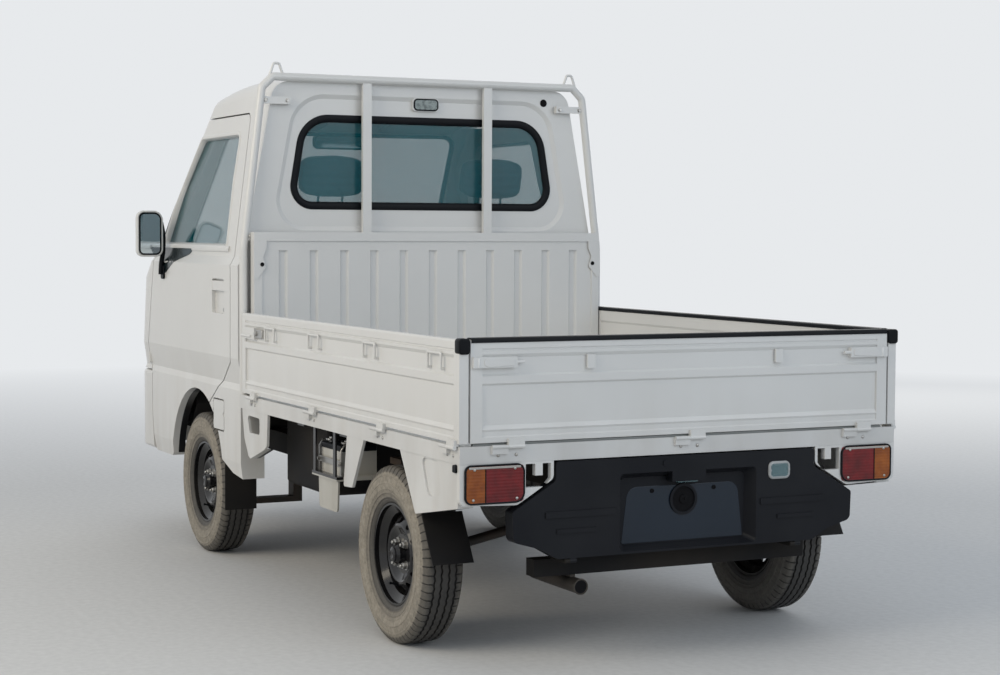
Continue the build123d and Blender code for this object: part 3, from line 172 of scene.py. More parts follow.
def densify(outline, step):
    """Points every step or so along a closed outline."""
    closed = np.concatenate([outline, outline[:1]])
    run = np.concatenate([[0], np.cumsum(np.linalg.norm(np.diff(closed, axis=0), axis=1))])
    keep = np.concatenate([[True], np.diff(run) > 1e-6])
    marks = np.unique(np.round(np.concatenate([run[keep], np.arange(0, run[-1], step)]), 3))[:-1]
    marks = marks[np.concatenate([[True], np.diff(marks) > 0.05])]
    return np.stack([np.interp(marks, run[keep], closed[keep][:, axis]) for axis in (0, 1)], 1)


def normals_2d(outline):
    """Outward unit normal at each point of a counter-clockwise closed outline."""
    along = unit(np.roll(outline, -1, 0) - np.roll(outline, 1, 0))
    return np.stack([along[:, 1], -along[:, 0]], 1)


def slab(outline, rows, place):
    """Copies of one outline, each moved inwards by its inset at its height, with both ends capped."""
    normal = normals_2d(outline)
    rings = [place(outline - normal * inset, np.full(len(outline), float(height))) for inset, height in rows]
    count = len(outline)
    return outward(np.concatenate(rings), grid_faces(len(rows), count) + end_caps(len(rows), count))


def edge_rows(low, high, radius, steps=3):
    """Insets and heights of a slab whose two edges are rounded by quarter circles."""
    turn = np.linspace(0, math.pi / 2, steps + 1)
    inset, rise = radius * (1 - np.sin(turn)), radius * (1 - np.cos(turn))
    return list(zip(inset, low + rise)) + list(zip(inset[::-1], high - rise[::-1]))


FLAT_AXES = ((1, 2), (0, 2), (0, 1))


def flat_place(axis):
    """Function that puts flat points across the named axis at a height along it."""
    u, v = FLAT_AXES[axis]

    def place(flat, height):
        points = np.zeros((len(flat), 3))
        points[:, u], points[:, v], points[:, axis] = flat[:, 0], flat[:, 1], height
        return points

    return place


def rectangle(low, high):
    """Corners of a rectangle from its lowest to its highest, counter-clockwise."""
    return [(low[0], low[1]), (high[0], low[1]), (high[0], high[1]), (low[0], high[1])]


def rounded_block(low, high, radius=2.0, axis=0, corner=None):
    """Block between two corners with rounded edges, its outline lying across the named axis."""
    flat = list(FLAT_AXES[axis])
    low, high = np.minimum(low, high), np.maximum(low, high)
    corner = radius * 1.3 if corner is None else corner
    outline = rounded_outline(rectangle(low[flat], high[flat]), [corner] * 4, 5)
    return slab(outline, edge_rows(low[axis], high[axis], radius), flat_place(axis))


def plate(corners, radii, low, high, axis=0, radius=0.6):
    """Flat plate with any outline, its edges eased."""
    return slab(rounded_outline(corners, radii, 6), edge_rows(low, high, radius, 2), flat_place(axis))


def sheet_shell(outer, inner):
    """Closed panel between two grids of points: each row's ring runs out along one and back on the other."""
    ring = np.concatenate([outer, inner[:, ::-1]], 1)
    rows, count = ring.shape[:2]
    step = np.arange(outer.shape[1] - 1)
    cap = np.stack([step, step + 1, count - 2 - step, count - 1 - step], 1)
    faces = grid_faces(rows, count) + cap.tolist() + (cap[:, ::-1] + (rows - 1) * count).tolist()
    return outward(ring.reshape(-1, 3), faces)


def lathe(profile, centre, axis, turns=20):
    """Profile of (radius, distance) turned round an axis; its two ends lie on the axis and become poles."""
    profile, centre, axis = [np.array(value, dtype=float) for value in (profile, centre, axis)]
    axis = axis / np.linalg.norm(axis)
    across = np.cross(axis, (0.0, 0.0, 1.0) if abs(axis[2]) < 0.9 else (1.0, 0.0, 0.0))
    across /= np.linalg.norm(across)
    angle = np.linspace(0, 2 * math.pi, turns, endpoint=False)
    spoke = np.cos(angle)[:, None] * across + np.sin(angle)[:, None] * np.cross(axis, across)
    body = profile[1:-1]
    rings = centre + body[:, 0, None, None] * spoke[None] + body[:, 1, None, None] * axis
    poles = centre + profile[[0, -1], 1][:, None] * axis
    return outward(np.concatenate([rings.reshape(-1, 3), poles]), pole_faces(len(body), turns))


def sweep(path, side, up, profile, closed=True):
    """Closed profile of (side, up) distances carried along a path, capped if the path is open."""
    profile = np.array(profile, dtype=float)
    points = path[:, None] + profile[None, :, :1] * side[:, None] + profile[None, :, 1:] * up[:, None]
    count = len(profile)
    faces = grid_faces(len(path), count, close_rows=closed)
    return outward(points.reshape(-1, 3), faces if closed else faces + end_caps(len(path), count))


def smooth_path(points, steps=8):
    """Catmull-Rom curve through the points, sampled evenly between each pair."""
    points = np.array(points, dtype=float)
    padded = np.concatenate([2 * points[:1] - points[1:2], points, 2 * points[-1:] - points[-2:-1]])
    t = np.linspace(0, 1, steps, endpoint=False)[None, :, None]
    p0, p1, p2, p3 = [padded[k:len(padded) - 3 + k][:, None] for k in range(4)]
    curve = 0.5 * (2 * p1 + (p2 - p0) * t + (2 * p0 - 5 * p1 + 4 * p2 - p3) * t ** 2
                   + (3 * p1 - p0 - 3 * p2 + p3) * t ** 3)
    return np.concatenate([curve.reshape(-1, points.shape[1]), points[-1:]])


def tube(path, radius, sides=12, closed=False, across=(0.13, 0.21, 0.97), flatten=1.0):
    """Round or flattened tube along a path; its ring is square to the path and one fixed direction."""
    path = np.array(path, dtype=float)
    along = unit(np.roll(path, -1, 0) - np.roll(path, 1, 0) if closed else np.gradient(path, axis=0))
    side = unit(np.cross(along, np.array(across)))
    angle = np.linspace(0, 2 * math.pi, sides, endpoint=False)
    profile = np.stack([radius * np.cos(angle), radius * flatten * np.sin(angle)], 1)
    return sweep(path, side, np.cross(side, along), profile, closed)


def hex_head(centre, axis, flats, height):
    """Bolt or nut: a six-sided profile with a chamfered top, on a round washer."""
    reach = flats / math.sqrt(3)
    washer = lathe([(0, 0), (reach * 1.3, 0), (reach * 1.3, height * 0.16), (0, height * 0.16)], centre, axis)
    nut = lathe([(0, height * 0.1), (reach, height * 0.1), (reach, height * 0.8), (reach * 0.82, height),
                 (0, height)], centre, axis, 6)
    return join([washer, nut])


def screw_head(centre, axis, radius, height):
    """Domed screw head: its radius falls as a quarter circle over the last two thirds of its height."""
    turn = np.linspace(0, math.pi / 2, 5)[:-1]
    dome = [(radius * math.cos(t), height * (0.35 + 0.65 * math.sin(t))) for t in turn]
    return lathe([(0, 0), (radius, 0)] + dome + [(0, height)], centre, axis, 16)


# Materials, each kept under its own name

MATERIALS = {}
UNDERCOAT_AND_SHADE = (0.012, 0.012, 0.013)
WEAVE_PITCH = 0.0034
AMBER_FROM_Y = 0.656
LENS_RIB_PITCH = 0.009

# The slot named for each material's pieces unless they name another; make_piece looks it up but gives it to
# no piece
SLOTS = {"white_paint": "body_paint", "tyre_rubber": "tyre_rubber", "bright_steel": "hub_steel",
         "wheel_black": "wheel_paint", "window_rubber": "flap_rubber", "black_gloss": "cabin_plastic",
         "mirror_glass": "window_glass", "cavity_shade_and_rubber": "skirt_plastic", "work_lens": "lamp_glass",
         "cabin_trim": "cabin_plastic", "lamp_frame": "skirt_plastic", "reflector": "lamp_glass",
         "small_lens": "lamp_glass", "plate_blank": "skirt_plastic", "pipe_steel": "exhaust_steel",
         "amber_lens": "lamp_lens", "cabin_grey": "cabin_plastic", "seat_cloth": "seat_fabric"}


def feed(node, values):
    """Give a node's inputs, by name or place, their values: links, numbers or triples of numbers."""
    for key, value in values.items():
        socket = node.inputs[key]
        if isinstance(value, bpy.types.NodeSocket):
            node.id_data.links.new(value, socket)
        else:
            socket.default_value = (*value, 1.0) if socket.type == "RGBA" else value


def new_node(tree, kind, values, **settings):
    """Shader node of a kind, with its settings and its inputs' values."""
    node = tree.nodes.new("ShaderNode" + kind)
    for name, value in settings.items():
        setattr(node, name, value)
    feed(node, values)
    return node


def new_material(name):
    """Node tree and Principled shader of a new material."""
    material = MATERIALS[name] = bpy.data.materials.new(name)
    material.use_nodes = True
    return material.node_tree, material.node_tree.nodes["Principled BSDF"]


def object_coords(tree):
    """Object coordinates, in metres."""
    return new_node(tree, "TexCoord", {}).outputs["Object"]


def noise(tree, scale, detail=3.0, stretch=(1, 1, 1)):
    """Noise on Object coordinates, stretched by a Mapping node."""
    mapping = new_node(tree, "Mapping", {"Vector": object_coords(tree), "Scale": stretch})
    values = {"Vector": mapping.outputs["Vector"], "Scale": scale, "Detail": detail}
    return new_node(tree, "TexNoise", values).outputs["Fac"]


def ramp(tree, value, stops):
    """Colour ramp through (position, colour) stops."""
    node = new_node(tree, "ValToRGB", {"Fac": value})
    elements = node.color_ramp.elements
    while len(elements) > 1:
        elements.remove(elements[-1])
    for index, (place, colour) in enumerate(stops):
        element = elements[0] if index == 0 else elements.new(place)
        element.position, element.color = place, (*colour, 1.0)
    return node.outputs["Color"]


def spread(tree, value, low, high, start=0.0, end=1.0):
    """Number that runs from low to high as the value runs from start to end."""
    values = {"Value": value, "From Min": start, "From Max": end, "To Min": low, "To Max": high}
    return new_node(tree, "MapRange", values).outputs["Result"]


def blend_colours(tree, amount, first, second):
    """Mix of two colours by an amount; each colour is a link or three numbers."""
    return new_node(tree, "Mix", {"Factor": amount, 6: first, 7: second}, data_type="RGBA").outputs[2]


def axis_value(tree, axis):
    """One Object coordinate, in metres."""
    return new_node(tree, "SeparateXYZ", {"Vector": object_coords(tree)}).outputs[axis]


def arithmetic(tree, operation, first, second=0.0, *more):
    """Sum, product or other operation over its values in turn, each a link or a number."""
    result = new_node(tree, "Math", {0: first, 1: second}, operation=operation).outputs[0]
    return arithmetic(tree, operation, result, *more) if more else result


def wave(tree, axis, pitch):
    """Sine of one Object coordinate, with its pitch in metres."""
    return arithmetic(tree, "SINE", arithmetic(tree, "MULTIPLY", axis_value(tree, axis), 2 * math.pi / pitch))


def bump(tree, value, strength, distance):
    """Normal from a value's bump."""
    values = {"Height": value, "Strength": strength, "Distance": distance}
    return new_node(tree, "Bump", values).outputs["Normal"]


def between(tree, value, low, high):
    """One where the value lies between two numbers, and nought elsewhere."""
    return arithmetic(tree, "MULTIPLY", arithmetic(tree, "GREATER_THAN", value, low),
                      arithmetic(tree, "LESS_THAN", value, high))


def box_mask(tree, *spans):
    """One inside a box of (low, high) metres along each axis."""
    return arithmetic(tree, "MULTIPLY", *[between(tree, axis_value(tree, axis), *span)
                                          for axis, span in enumerate(spans)])


def arch_mask(tree, centre_x, centre_z, radius, half_width):
    """One inside a wheel arch, a cylinder across the vehicle, given in metres."""
    along, above = [arithmetic(tree, "SUBTRACT", axis_value(tree, axis), centre)
                    for axis, centre in ((0, centre_x), (2, centre_z))]
    reach = arithmetic(tree, "ADD", *[arithmetic(tree, "MULTIPLY", part, part) for part in (along, above)])
    return arithmetic(tree, "MULTIPLY", arithmetic(tree, "LESS_THAN", reach, radius ** 2),
                      between(tree, axis_value(tree, 1), -half_width, half_width))


def finish_material(name, base, shade, rough, metallic=0.0, grain=60.0, grain_depth=0.0004, coat=0.0,
                    patch=3.0, rough_span=0.08, strength=0.25, specular=0.5):
    """Two-tone surface with patchy colour, patchy roughness and a fine grain."""
    tree, shader = new_material(name)
    patches = noise(tree, patch, 5.0)
    feed(shader, {"Base Color": ramp(tree, patches, [(0.35, shade), (0.62, base)]),
                  "Roughness": spread(tree, patches, rough + rough_span, rough - rough_span),
                  "Metallic": metallic, "Specular IOR Level": specular,
                  "Coat Weight": coat, "Coat Roughness": 0.08,
                  "Normal": bump(tree, noise(tree, grain, 2.0), strength, grain_depth)})


def paint_material(name, base, shade, dust, low_dirt, mask, *place):
    """Gloss paint with a little orange peel, soft streaks, road dust that thickens towards the ground, and
    black where the mask of that place is one, standing for undercoat and painted shade under the body."""
    tree, shader = new_material(name)
    streaks = noise(tree, 9.0, 5.0, (1.0, 1.0, 0.18))
    paint = ramp(tree, noise(tree, 2.2, 4.0), [(0.3, shade), (0.65, base)])
    height = spread(tree, axis_value(tree, 2), low_dirt, 0.0, 0.30, 0.85)
    cover = arithmetic(tree, "MULTIPLY", height, spread(tree, streaks, 0.0, 1.0, 0.38, 0.75))
    dusty = blend_colours(tree, cover, paint, dust)
    feed(shader, {"Base Color": blend_colours(tree, mask(tree, *place), dusty, UNDERCOAT_AND_SHADE),
                  "Roughness": spread(tree, streaks, 0.25, 0.38), "Coat Weight": 0.3, "Coat Roughness": 0.12,
                  "Normal": bump(tree, noise(tree, 420.0, 1.0), 0.08, 0.00006)})


def tyre_material():
    """Rubber whose dust follows the piece's own dust attribute, broken up by noise; the attribute's low
    values on the crown, groove floors and slots are partly painted shade.
    """
    tree, shader = new_material("tyre_rubber")
    rubber = ramp(tree, noise(tree, 18.0, 4.0), [(0.3, (0.020, 0.020, 0.021)), (0.7, (0.034, 0.033, 0.032))])
    dust = ramp(tree, noise(tree, 130.0, 4.0), [(0.3, (0.25, 0.225, 0.185)), (0.72, (0.34, 0.31, 0.26))])
    amount = new_node(tree, "Attribute", {}, attribute_name="dust").outputs["Fac"]
    rubbed = spread(tree, noise(tree, 55.0, 5.0), 0.75, 1.15, 0.3, 0.7)
    cover = arithmetic(tree, "MINIMUM", arithmetic(tree, "MULTIPLY", amount, rubbed), 1.0)
    feed(shader, {"Base Color": blend_colours(tree, cover, rubber, dust),
                  "Roughness": spread(tree, cover, 0.60, 0.85),
                  "Normal": bump(tree, noise(tree, 500.0, 2.0), 0.3, 0.0002)})


def cloth_material():
    """Woven cloth: two crossed sine waves over patchy colour, with a soft sheen."""
    tree, shader = new_material("seat_cloth")
    cloth = ramp(tree, noise(tree, 9.0, 4.0), [(0.3, (0.075, 0.105, 0.14)), (0.7, (0.11, 0.15, 0.185))])
    weave = arithmetic(tree, "MULTIPLY", *[wave(tree, axis, WEAVE_PITCH) for axis in (1, 2)])
    crossed = spread(tree, weave, 0.0, 1.0, -1.0, 1.0)
    woven = blend_colours(tree, spread(tree, crossed, 0.0, 0.5), cloth, (0.035, 0.055, 0.08))
    fuzz = arithmetic(tree, "ADD", crossed, noise(tree, 300.0, 2.0))
    feed(shader, {"Base Color": woven, "Roughness": 0.9, "Sheen Weight": 0.35, "Sheen Roughness": 0.5,
                  "Normal": bump(tree, fuzz, 0.35, 0.0006)})


def glass_material(name, tint, alpha, rough=0.03):
    """Thin tinted glass with a trace of dust, which what lies behind shows through."""
    tree, shader = new_material(name)
    dust = noise(tree, 7.0, 4.0)
    paler = tuple(min(1.0, 1.15 * part) for part in tint)
    feed(shader, {"Base Color": ramp(tree, dust, [(0.3, tint), (0.8, paler)]),
                  "Roughness": spread(tree, dust, rough, rough + 0.04), "Alpha": alpha, "Coat Weight": 1.0,
                  "Coat Roughness": 0.02})


def tail_lens_material():
    """Ribbed lens, red inside and amber outside of a line, with a deep gloss."""
    tree, shader = new_material("tail_lens")
    across = arithmetic(tree, "ABSOLUTE", axis_value(tree, 1))
    outside = arithmetic(tree, "GREATER_THAN", across, AMBER_FROM_Y)
    cells = noise(tree, 30.0, 2.0)
    red = ramp(tree, cells, [(0.3, (0.10, 0.002, 0.004)), (0.7, (0.19, 0.004, 0.007))])
    amber = ramp(tree, cells, [(0.3, (0.22, 0.050, 0.004)), (0.7, (0.36, 0.095, 0.007))])
    feed(shader, {"Base Color": blend_colours(tree, outside, red, amber), "Roughness": 0.16,
                  "Specular IOR Level": 0.3, "Coat Weight": 0.3, "Coat Roughness": 0.04,
                  "Normal": bump(tree, wave(tree, 2, LENS_RIB_PITCH), 0.25, 0.0008)})


# Black inside the front wheel arches is undercoat and painted shade; black under the bed floor is painted
# shade of the underbody; the battery tray is black outboard of the battery
paint_material("white_paint", (0.70, 0.70, 0.685), (0.66, 0.66, 0.645), (0.42, 0.37, 0.30), 0.45,
               arch_mask, 0.768, 0.305, 0.333, 0.700)
paint_material("bed_paint", (0.68, 0.68, 0.665), (0.58, 0.58, 0.57), (0.38, 0.34, 0.28), 0.55,
               box_mask, (-1.655, 0.60), (-0.706, 0.706), (0.0, 0.6515))
paint_material("battery_case", (0.52, 0.51, 0.47), (0.44, 0.43, 0.38), (0.30, 0.27, 0.22), 0.6,
               box_mask, (-0.70, -0.44), (0.683, 0.72), (0.446, 0.70))
for name, base, shade, rough, rest in (
        ("chassis_black", (0.009, 0.009, 0.010), (0.024, 0.021, 0.018), 0.65,
         dict(grain=180.0, specular=0.15)),
        ("wheel_black", (0.007, 0.007, 0.009), (0.016, 0.015, 0.014), 0.16,
         dict(coat=0.25, grain=220.0, grain_depth=0.0001, specular=0.3)),
        # Near-black over the whole cab floor: its mat inside, and painted shade underneath and in the front
        # arches
        ("mat_and_underbody_shade", (0.014, 0.014, 0.015), (0.026, 0.024, 0.022), 0.7, dict(grain=300.0, specular=0.2)),
        ("flap_rubber", (0.010, 0.010, 0.011), (0.022, 0.020, 0.018), 0.65, dict(grain=160.0, specular=0.15)),
        ("skirt_black", (0.010, 0.011, 0.014), (0.016, 0.017, 0.020), 0.42,
         dict(grain=500.0, grain_depth=0.0002, specular=0.12)),
        ("plate_blank", (0.006, 0.014, 0.026), (0.009, 0.018, 0.032), 0.22,
         dict(coat=0.2, grain=90.0, grain_depth=0.0001, specular=0.3)),
        ("cabin_grey", (0.11, 0.125, 0.13), (0.085, 0.095, 0.10), 0.6, dict(grain=400.0)),
        ("cabin_trim", (0.30, 0.31, 0.30), (0.26, 0.27, 0.26), 0.7, dict(grain=350.0)),
        ("engine_metal", (0.16, 0.155, 0.15), (0.07, 0.062, 0.055), 0.55,
         dict(metallic=0.7, grain=90.0, grain_depth=0.001)),
        ("hub_steel", (0.05, 0.048, 0.045), (0.10, 0.07, 0.05), 0.6, dict(metallic=0.5, grain=120.0)),
        ("pipe_steel", (0.085, 0.078, 0.070), (0.050, 0.038, 0.030), 0.55, dict(metallic=0.7, grain=90.0)),
        ("bright_steel", (0.46, 0.46, 0.45), (0.34, 0.32, 0.29), 0.32,
         dict(metallic=0.9, grain=200.0, grain_depth=0.0001)),
        ("window_rubber", (0.003, 0.004, 0.006), (0.007, 0.008, 0.010), 0.45,
         dict(grain=260.0, specular=0.12)),
        ("black_gloss", (0.006, 0.012, 0.014), (0.010, 0.017, 0.02), 0.25,
         dict(coat=0.15, grain_depth=0.0001, specular=0.3)),
        ("reflector", (0.75, 0.76, 0.78), (0.68, 0.69, 0.71), 0.12, dict(metallic=1.0, grain=30.0)),
        ("mirror_glass", (0.55, 0.62, 0.66), (0.52, 0.59, 0.63), 0.05,
         dict(metallic=1.0, rough_span=0.02, strength=0.02)),
        ("lamp_frame", (0.40, 0.41, 0.41), (0.34, 0.35, 0.35), 0.35, dict(grain=200.0)),
        ("work_lens", (0.20, 0.25, 0.24), (0.07, 0.10, 0.095), 0.2,
         dict(coat=0.6, grain=160.0, grain_depth=0.001, patch=70.0, strength=0.6)),
        # Near-black painted shade for holes, bores, recesses, grip cups and the space behind the bumper's
        # slots; also the wall plug's black rubber
        ("cavity_shade_and_rubber", (0.003, 0.003, 0.004), (0.005, 0.005, 0.006), 0.8, dict(grain=100.0, specular=0.15)),
        ("amber_lens", (0.50, 0.17, 0.012), (0.42, 0.13, 0.01), 0.12, dict(coat=0.5, grain=200.0))):
    finish_material(name, base, shade, rough, **rest)
glass_material("window_glass", (0.006, 0.15, 0.185), 0.36)
glass_material("lamp_glass", (0.70, 0.74, 0.76), 0.22)
glass_material("small_lens", (0.10, 0.20, 0.22), 0.6)
tyre_material()
cloth_material()
tail_lens_material()

NODE_FINISH = {
    "white_paint": "cab_front_panel cab_roof cab_rear_wall cab_side_left cab_side_right front_bumper "
                   "headboard guard_frame rear_lamp_panels door_left door_right gate_left gate_right "
                   "tailgate fuel_lid mirror_left mirror_right",
    "bed_paint": "bed_floor",
    "mat_and_underbody_shade": "cab_floor",
    "chassis_black": "ladder_frame fuel_tank",
    "wheel_black": "rim_front_left rim_front_right rim_rear_left rim_rear_right",
    "tyre_rubber": "tyre_front_left tyre_front_right tyre_rear_left tyre_rear_right",
    "flap_rubber": "mud_flaps",
    "skirt_black": "engine_lid",
    "cabin_grey": "dashboard steering_wheel",
    "seat_cloth": "seats",
    "engine_metal": "engine_block",
    "hub_steel": "suspension knuckle_left knuckle_right",
    "battery_case": "battery_tray",
    "pipe_steel": "exhaust",
    "window_glass": "cab_glass door_glass_left door_glass_right",
    "lamp_glass": "headlamps",
    "tail_lens": "tail_lamps",
}
for material, names in NODE_FINISH.items():
    for name in names.split():
        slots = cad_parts[name].data.materials
        slots.clear()
        slots.append(MATERIALS[material])


# The cab's outer surface, level by level: height, front, half width, nose bow and corner radius

CAB_LEVELS = np.array([
    (335, NOSE_X - 16, 718, 2600, 150), (400, NOSE_X - 12, 726, 2600, 150),
    (664, NOSE_X - 12, 726, 2600, 150), (687, NOSE_X - 18, 719, 2600, 150),
    (780, NOSE_X - 24, 736, 2500, 150), (1050, NOSE_X - 52, 736, 2300, 160),
    (1118, 1566.0, 736, 2100, 150), (1150, 1539.6, 716, 2100, 130), (1830, 979.1, 588.8, 2000, 120)])


def cab_corner(z):
    """Front and bow of the nose at each level, then the centre and radius of its corner's arc."""
    front, half, bow, corner = [np.interp(z, CAB_LEVELS[:, 0], CAB_LEVELS[:, k]) for k in range(1, 5)]
    corner_y = half - corner
    corner_x = front - bow + np.sqrt((bow - corner) ** 2 - corner_y ** 2)
    return front, bow, corner_x, corner_y, corner


def cab_side_y(x, z):
    """Half width of the cab at (x, z): straight, then the corner's arc."""
    corner_x, corner_y, corner = cab_corner(z)[2:]
    over = np.clip(x - corner_x, 0, corner * 0.99)
    return corner_y + np.sqrt(corner ** 2 - over ** 2)


def cab_front_x(y, z):
    """Forward reach of the cab at (y, z): the wide bow, then the corner's arc."""
    front, bow, corner_x, corner_y, corner = cab_corner(z)
    wide = front - bow + np.sqrt(np.maximum(bow ** 2 - y ** 2, 0))
    over = np.clip(np.abs(y) - corner_y, 0, corner * 0.99)
    round_corner = corner_x + np.sqrt(corner ** 2 - over ** 2)
    return np.where(np.abs(y) < bow * corner_y / (bow - corner), wide, round_corner)


def nose_point(y, z, depth):
    """Point on the cab's nose at (y, z), moved back by a depth."""
    return np.stack([cab_front_x(y, z) - depth, y, z], -1)


def corner_point(angle, z, depth):
    """Point on the cab's front corner at an angle from straight ahead, moved in by a depth."""
    corner_x, corner_y, corner = cab_corner(z)[2:]
    reach = corner - depth
    return np.stack([corner_x + reach * np.cos(angle), corner_y + reach * np.sin(angle), z], -1)


def side_surface(flat, depth):
    """Point of the cab's left side at flat (x, z), moved inwards by a depth."""
    return np.stack([flat[..., 0], cab_side_y(flat[..., 0], flat[..., 1]) - depth, flat[..., 1]], -1)


def front_surface(flat, depth):
    """Point of the cab's front at flat (y, z), moved back by a depth."""
    return nose_point(flat[..., 0], flat[..., 1], depth)


def rear_plane(x):
    """Function that puts (y, z) on a plane that faces rearwards, a depth in front of it."""
    return lambda flat, depth: np.stack([x + depth, flat[..., 0], flat[..., 1]], -1)


def outline_strip(corners, radii, profile, surface, step=14.0):
    """Profile of (outwards, inwards) distances carried round an outline on a surface."""
    outline = densify(rounded_outline(corners, radii, 12), step)
    profile = np.array(profile, dtype=float)
    flat = outline[:, None] + profile[None, :, :1] * normals_2d(outline)[:, None]
    points = surface(flat.reshape(-1, 2), np.tile(profile[:, 1], len(outline)))
    return outward(points, grid_faces(len(outline), len(profile), close_rows=True))


def surface_strip(points, half, thick, surface, lift=0.3):
    """Strip along a flat path on a surface: its thickness falls off as a half ellipse over its width."""
    path = smooth_path(points, 12)
    along = unit(np.gradient(path, axis=0))
    normal = np.stack([-along[:, 1], along[:, 0]], 1)
    across = np.linspace(-1, 1, 9)
    flat = path[:, None] + (across * half)[None, :, None] * normal[:, None]
    depth = np.broadcast_to(thick * np.sqrt(1 - 0.9 * across ** 2), flat.shape[:2])
    return sheet_shell(surface(flat, -lift - depth), surface(flat, np.full(flat.shape[:2], -lift)))


# Tyres: one section of (radius, across) turned round the axle, cut by zigzag grooves and shoulder slots

TYRE_RADIUS = 270.0
SIDEWALL = [
    (157.0, 47.0), (157.5, 52.0), (161.0, 56.0), (167.0, 58.5), (170.0, 59.0), (171.0, 61.0), (174.0, 61.8),
    (177.0, 61.0), (184.0, 63.2), (185.5, 65.4), (188.5, 65.6), (190.0, 64.6), (197.0, 67.0), (198.5, 68.4),
    (200.0, 67.6), (208.0, 69.2), (213.0, 69.6), (215.0, 71.0), (218.0, 71.0), (220.0, 69.6), (230.0, 68.8),
    (237.0, 67.2), (238.5, 68.6), (241.0, 68.4), (242.5, 66.8), (247.0, 65.0)]
SHOULDER = [(252.5, 62.6), (253.5, 62.2), (262.0, 57.6), (266.4, 53.2), (268.2, 48.6)]
GROOVE_ACROSS = (34.0, 12.0)
GROOVE_MOUTH = 3.4
GROOVE_FLOOR = 2.4
GROOVE_DEPTH = 7.0
CROWN_FALL = 0.00065
SHOULDER_SLOT = 0.85
SLOT_DEPTH = 5.5
ZIGZAG = 1.8
PITCHES = 64
PITCH_STEPS = (0.0, 0.13, 0.16, 0.45, 0.55, 0.84, 0.97)
SLOT_STEPS = (1, 1, 0, 0, 0, 0, 0)
SIDE_RIBS = 96
SIDE_RIB_DEPTH = 0.45
SIDE_RIB_SPAN = (219.0, 239.0)
SIDE_ROW, SHOULDER_ROW, CROWN_ROW, FLOOR_ROW = range(4)
# Share of dust on side, shoulder, crown and groove-floor rows: the crown's low share is worn rubber and
# painted shade, the groove floors' lower share painted shade in the grooves
ROW_DUST_AND_SHADE = np.array([1.0, 0.32, 0.07, 0.01])
RIM_DUST = ((157.0, 0.15), (171.0, 0.2), (176.0, 0.7), (187.0, 0.6), (190.0, 0.8), (204.0, 1.0),
            (250.0, 0.95))
INNER_WALL_DUST = 0.35
# Share of dust kept where points sink into the slots: painted shade in the slots
SLOT_SHADE = 0.2


def tyre_rows():
    """Radius, distance across, slot share and kind of each row of the section, from bead to bead."""
    half = [(r, a, 0.0, SIDE_ROW) for r, a in SIDEWALL]
    half += [(r, a, SHOULDER_SLOT, SHOULDER_ROW) for r, a in SHOULDER]
    for groove, slot in zip(GROOVE_ACROSS, (1.0, 0.0)):
        crown = TYRE_RADIUS - CROWN_FALL * groove ** 2
        half += [(crown, groove + GROOVE_MOUTH, slot, CROWN_ROW),
                 (crown - GROOVE_DEPTH, groove + GROOVE_FLOOR, 0.0, FLOOR_ROW),
                 (crown - GROOVE_DEPTH, groove - GROOVE_FLOOR, 0.0, FLOOR_ROW),
                 (crown, groove - GROOVE_MOUTH, 0.0, CROWN_ROW)]
    rows = half + [(r, -a, slot, kind) for r, a, slot, kind in half[::-1]]
    return [np.array(column) for column in zip(*rows)]


def tyre_shell(centre_x, side):
    """Tyre whose grooves zigzag as a triangle wave of the angle, with slots at the start of each pitch."""
    radius, across, slot, kind = tyre_rows()
    part = (np.arange(PITCHES)[:, None] + np.array(PITCH_STEPS)[None]).reshape(-1)
    turn = part / PITCHES
    zigzag = ZIGZAG * (np.abs(part % 1.0 - 0.5) * 4 - 1)
    depth = SLOT_DEPTH * slot[:, None] * np.tile(SLOT_STEPS, PITCHES)[None]
    ribbed = (radius > SIDE_RIB_SPAN[0]) & (radius < SIDE_RIB_SPAN[1]) & (kind == SIDE_ROW)
    ribs = SIDE_RIB_DEPTH * ribbed[:, None] * (np.cos(2 * math.pi * SIDE_RIBS * turn)[None] - 1)
    r = radius[:, None] - depth
    a = across[:, None] + zigzag[None] * (kind >= CROWN_ROW)[:, None] + ribs * np.sign(across)[:, None]
    angle = 2 * math.pi * turn[None]
    points = np.stack([centre_x + r * np.sin(angle), side * (WHEEL_Y + a), AXLE_Z + r * np.cos(angle)], -1)
    side_dust = np.interp(radius, *zip(*RIM_DUST)) * np.where(across < 0, INNER_WALL_DUST, 1.0)
    dust = np.where(kind == SIDE_ROW, side_dust, ROW_DUST_AND_SHADE[kind])
    # Points sunk in the slots keep only part of their dust: painted shade in the slots
    dust = dust[:, None] * np.where(depth > 0, SLOT_SHADE, 1.0)
    faces = grid_faces(len(radius), len(turn), close_rows=True)
    return outward(points.reshape(-1, 3), faces), dust.reshape(-1)


HUB_FACE = WHEEL_Y + 22.2
NUT_CIRCLE = 45.0
VALVE_RADIUS = 118.0
VALVE_ANGLE = -1.08
STUD_PROFILE = [(0, 0), (5.5, 0), (5.5, 21), (4.2, 23), (0, 23)]
CAP_PROFILE = [(0, 50.2), (22.0, 50.2), (23.0, 52.4), (22.4, 55.0), (18.0, 57.6), (12.0, 58.4), (10.5, 57.2),
               (0, 57.0)]
VALVE_PROFILE = [(0, 0), (6.5, 0), (6.5, 3), (4.2, 6), (3.8, 18), (3.2, 19), (3.2, 27), (4.4, 27.5),
                 (4.4, 33), (0, 34)]


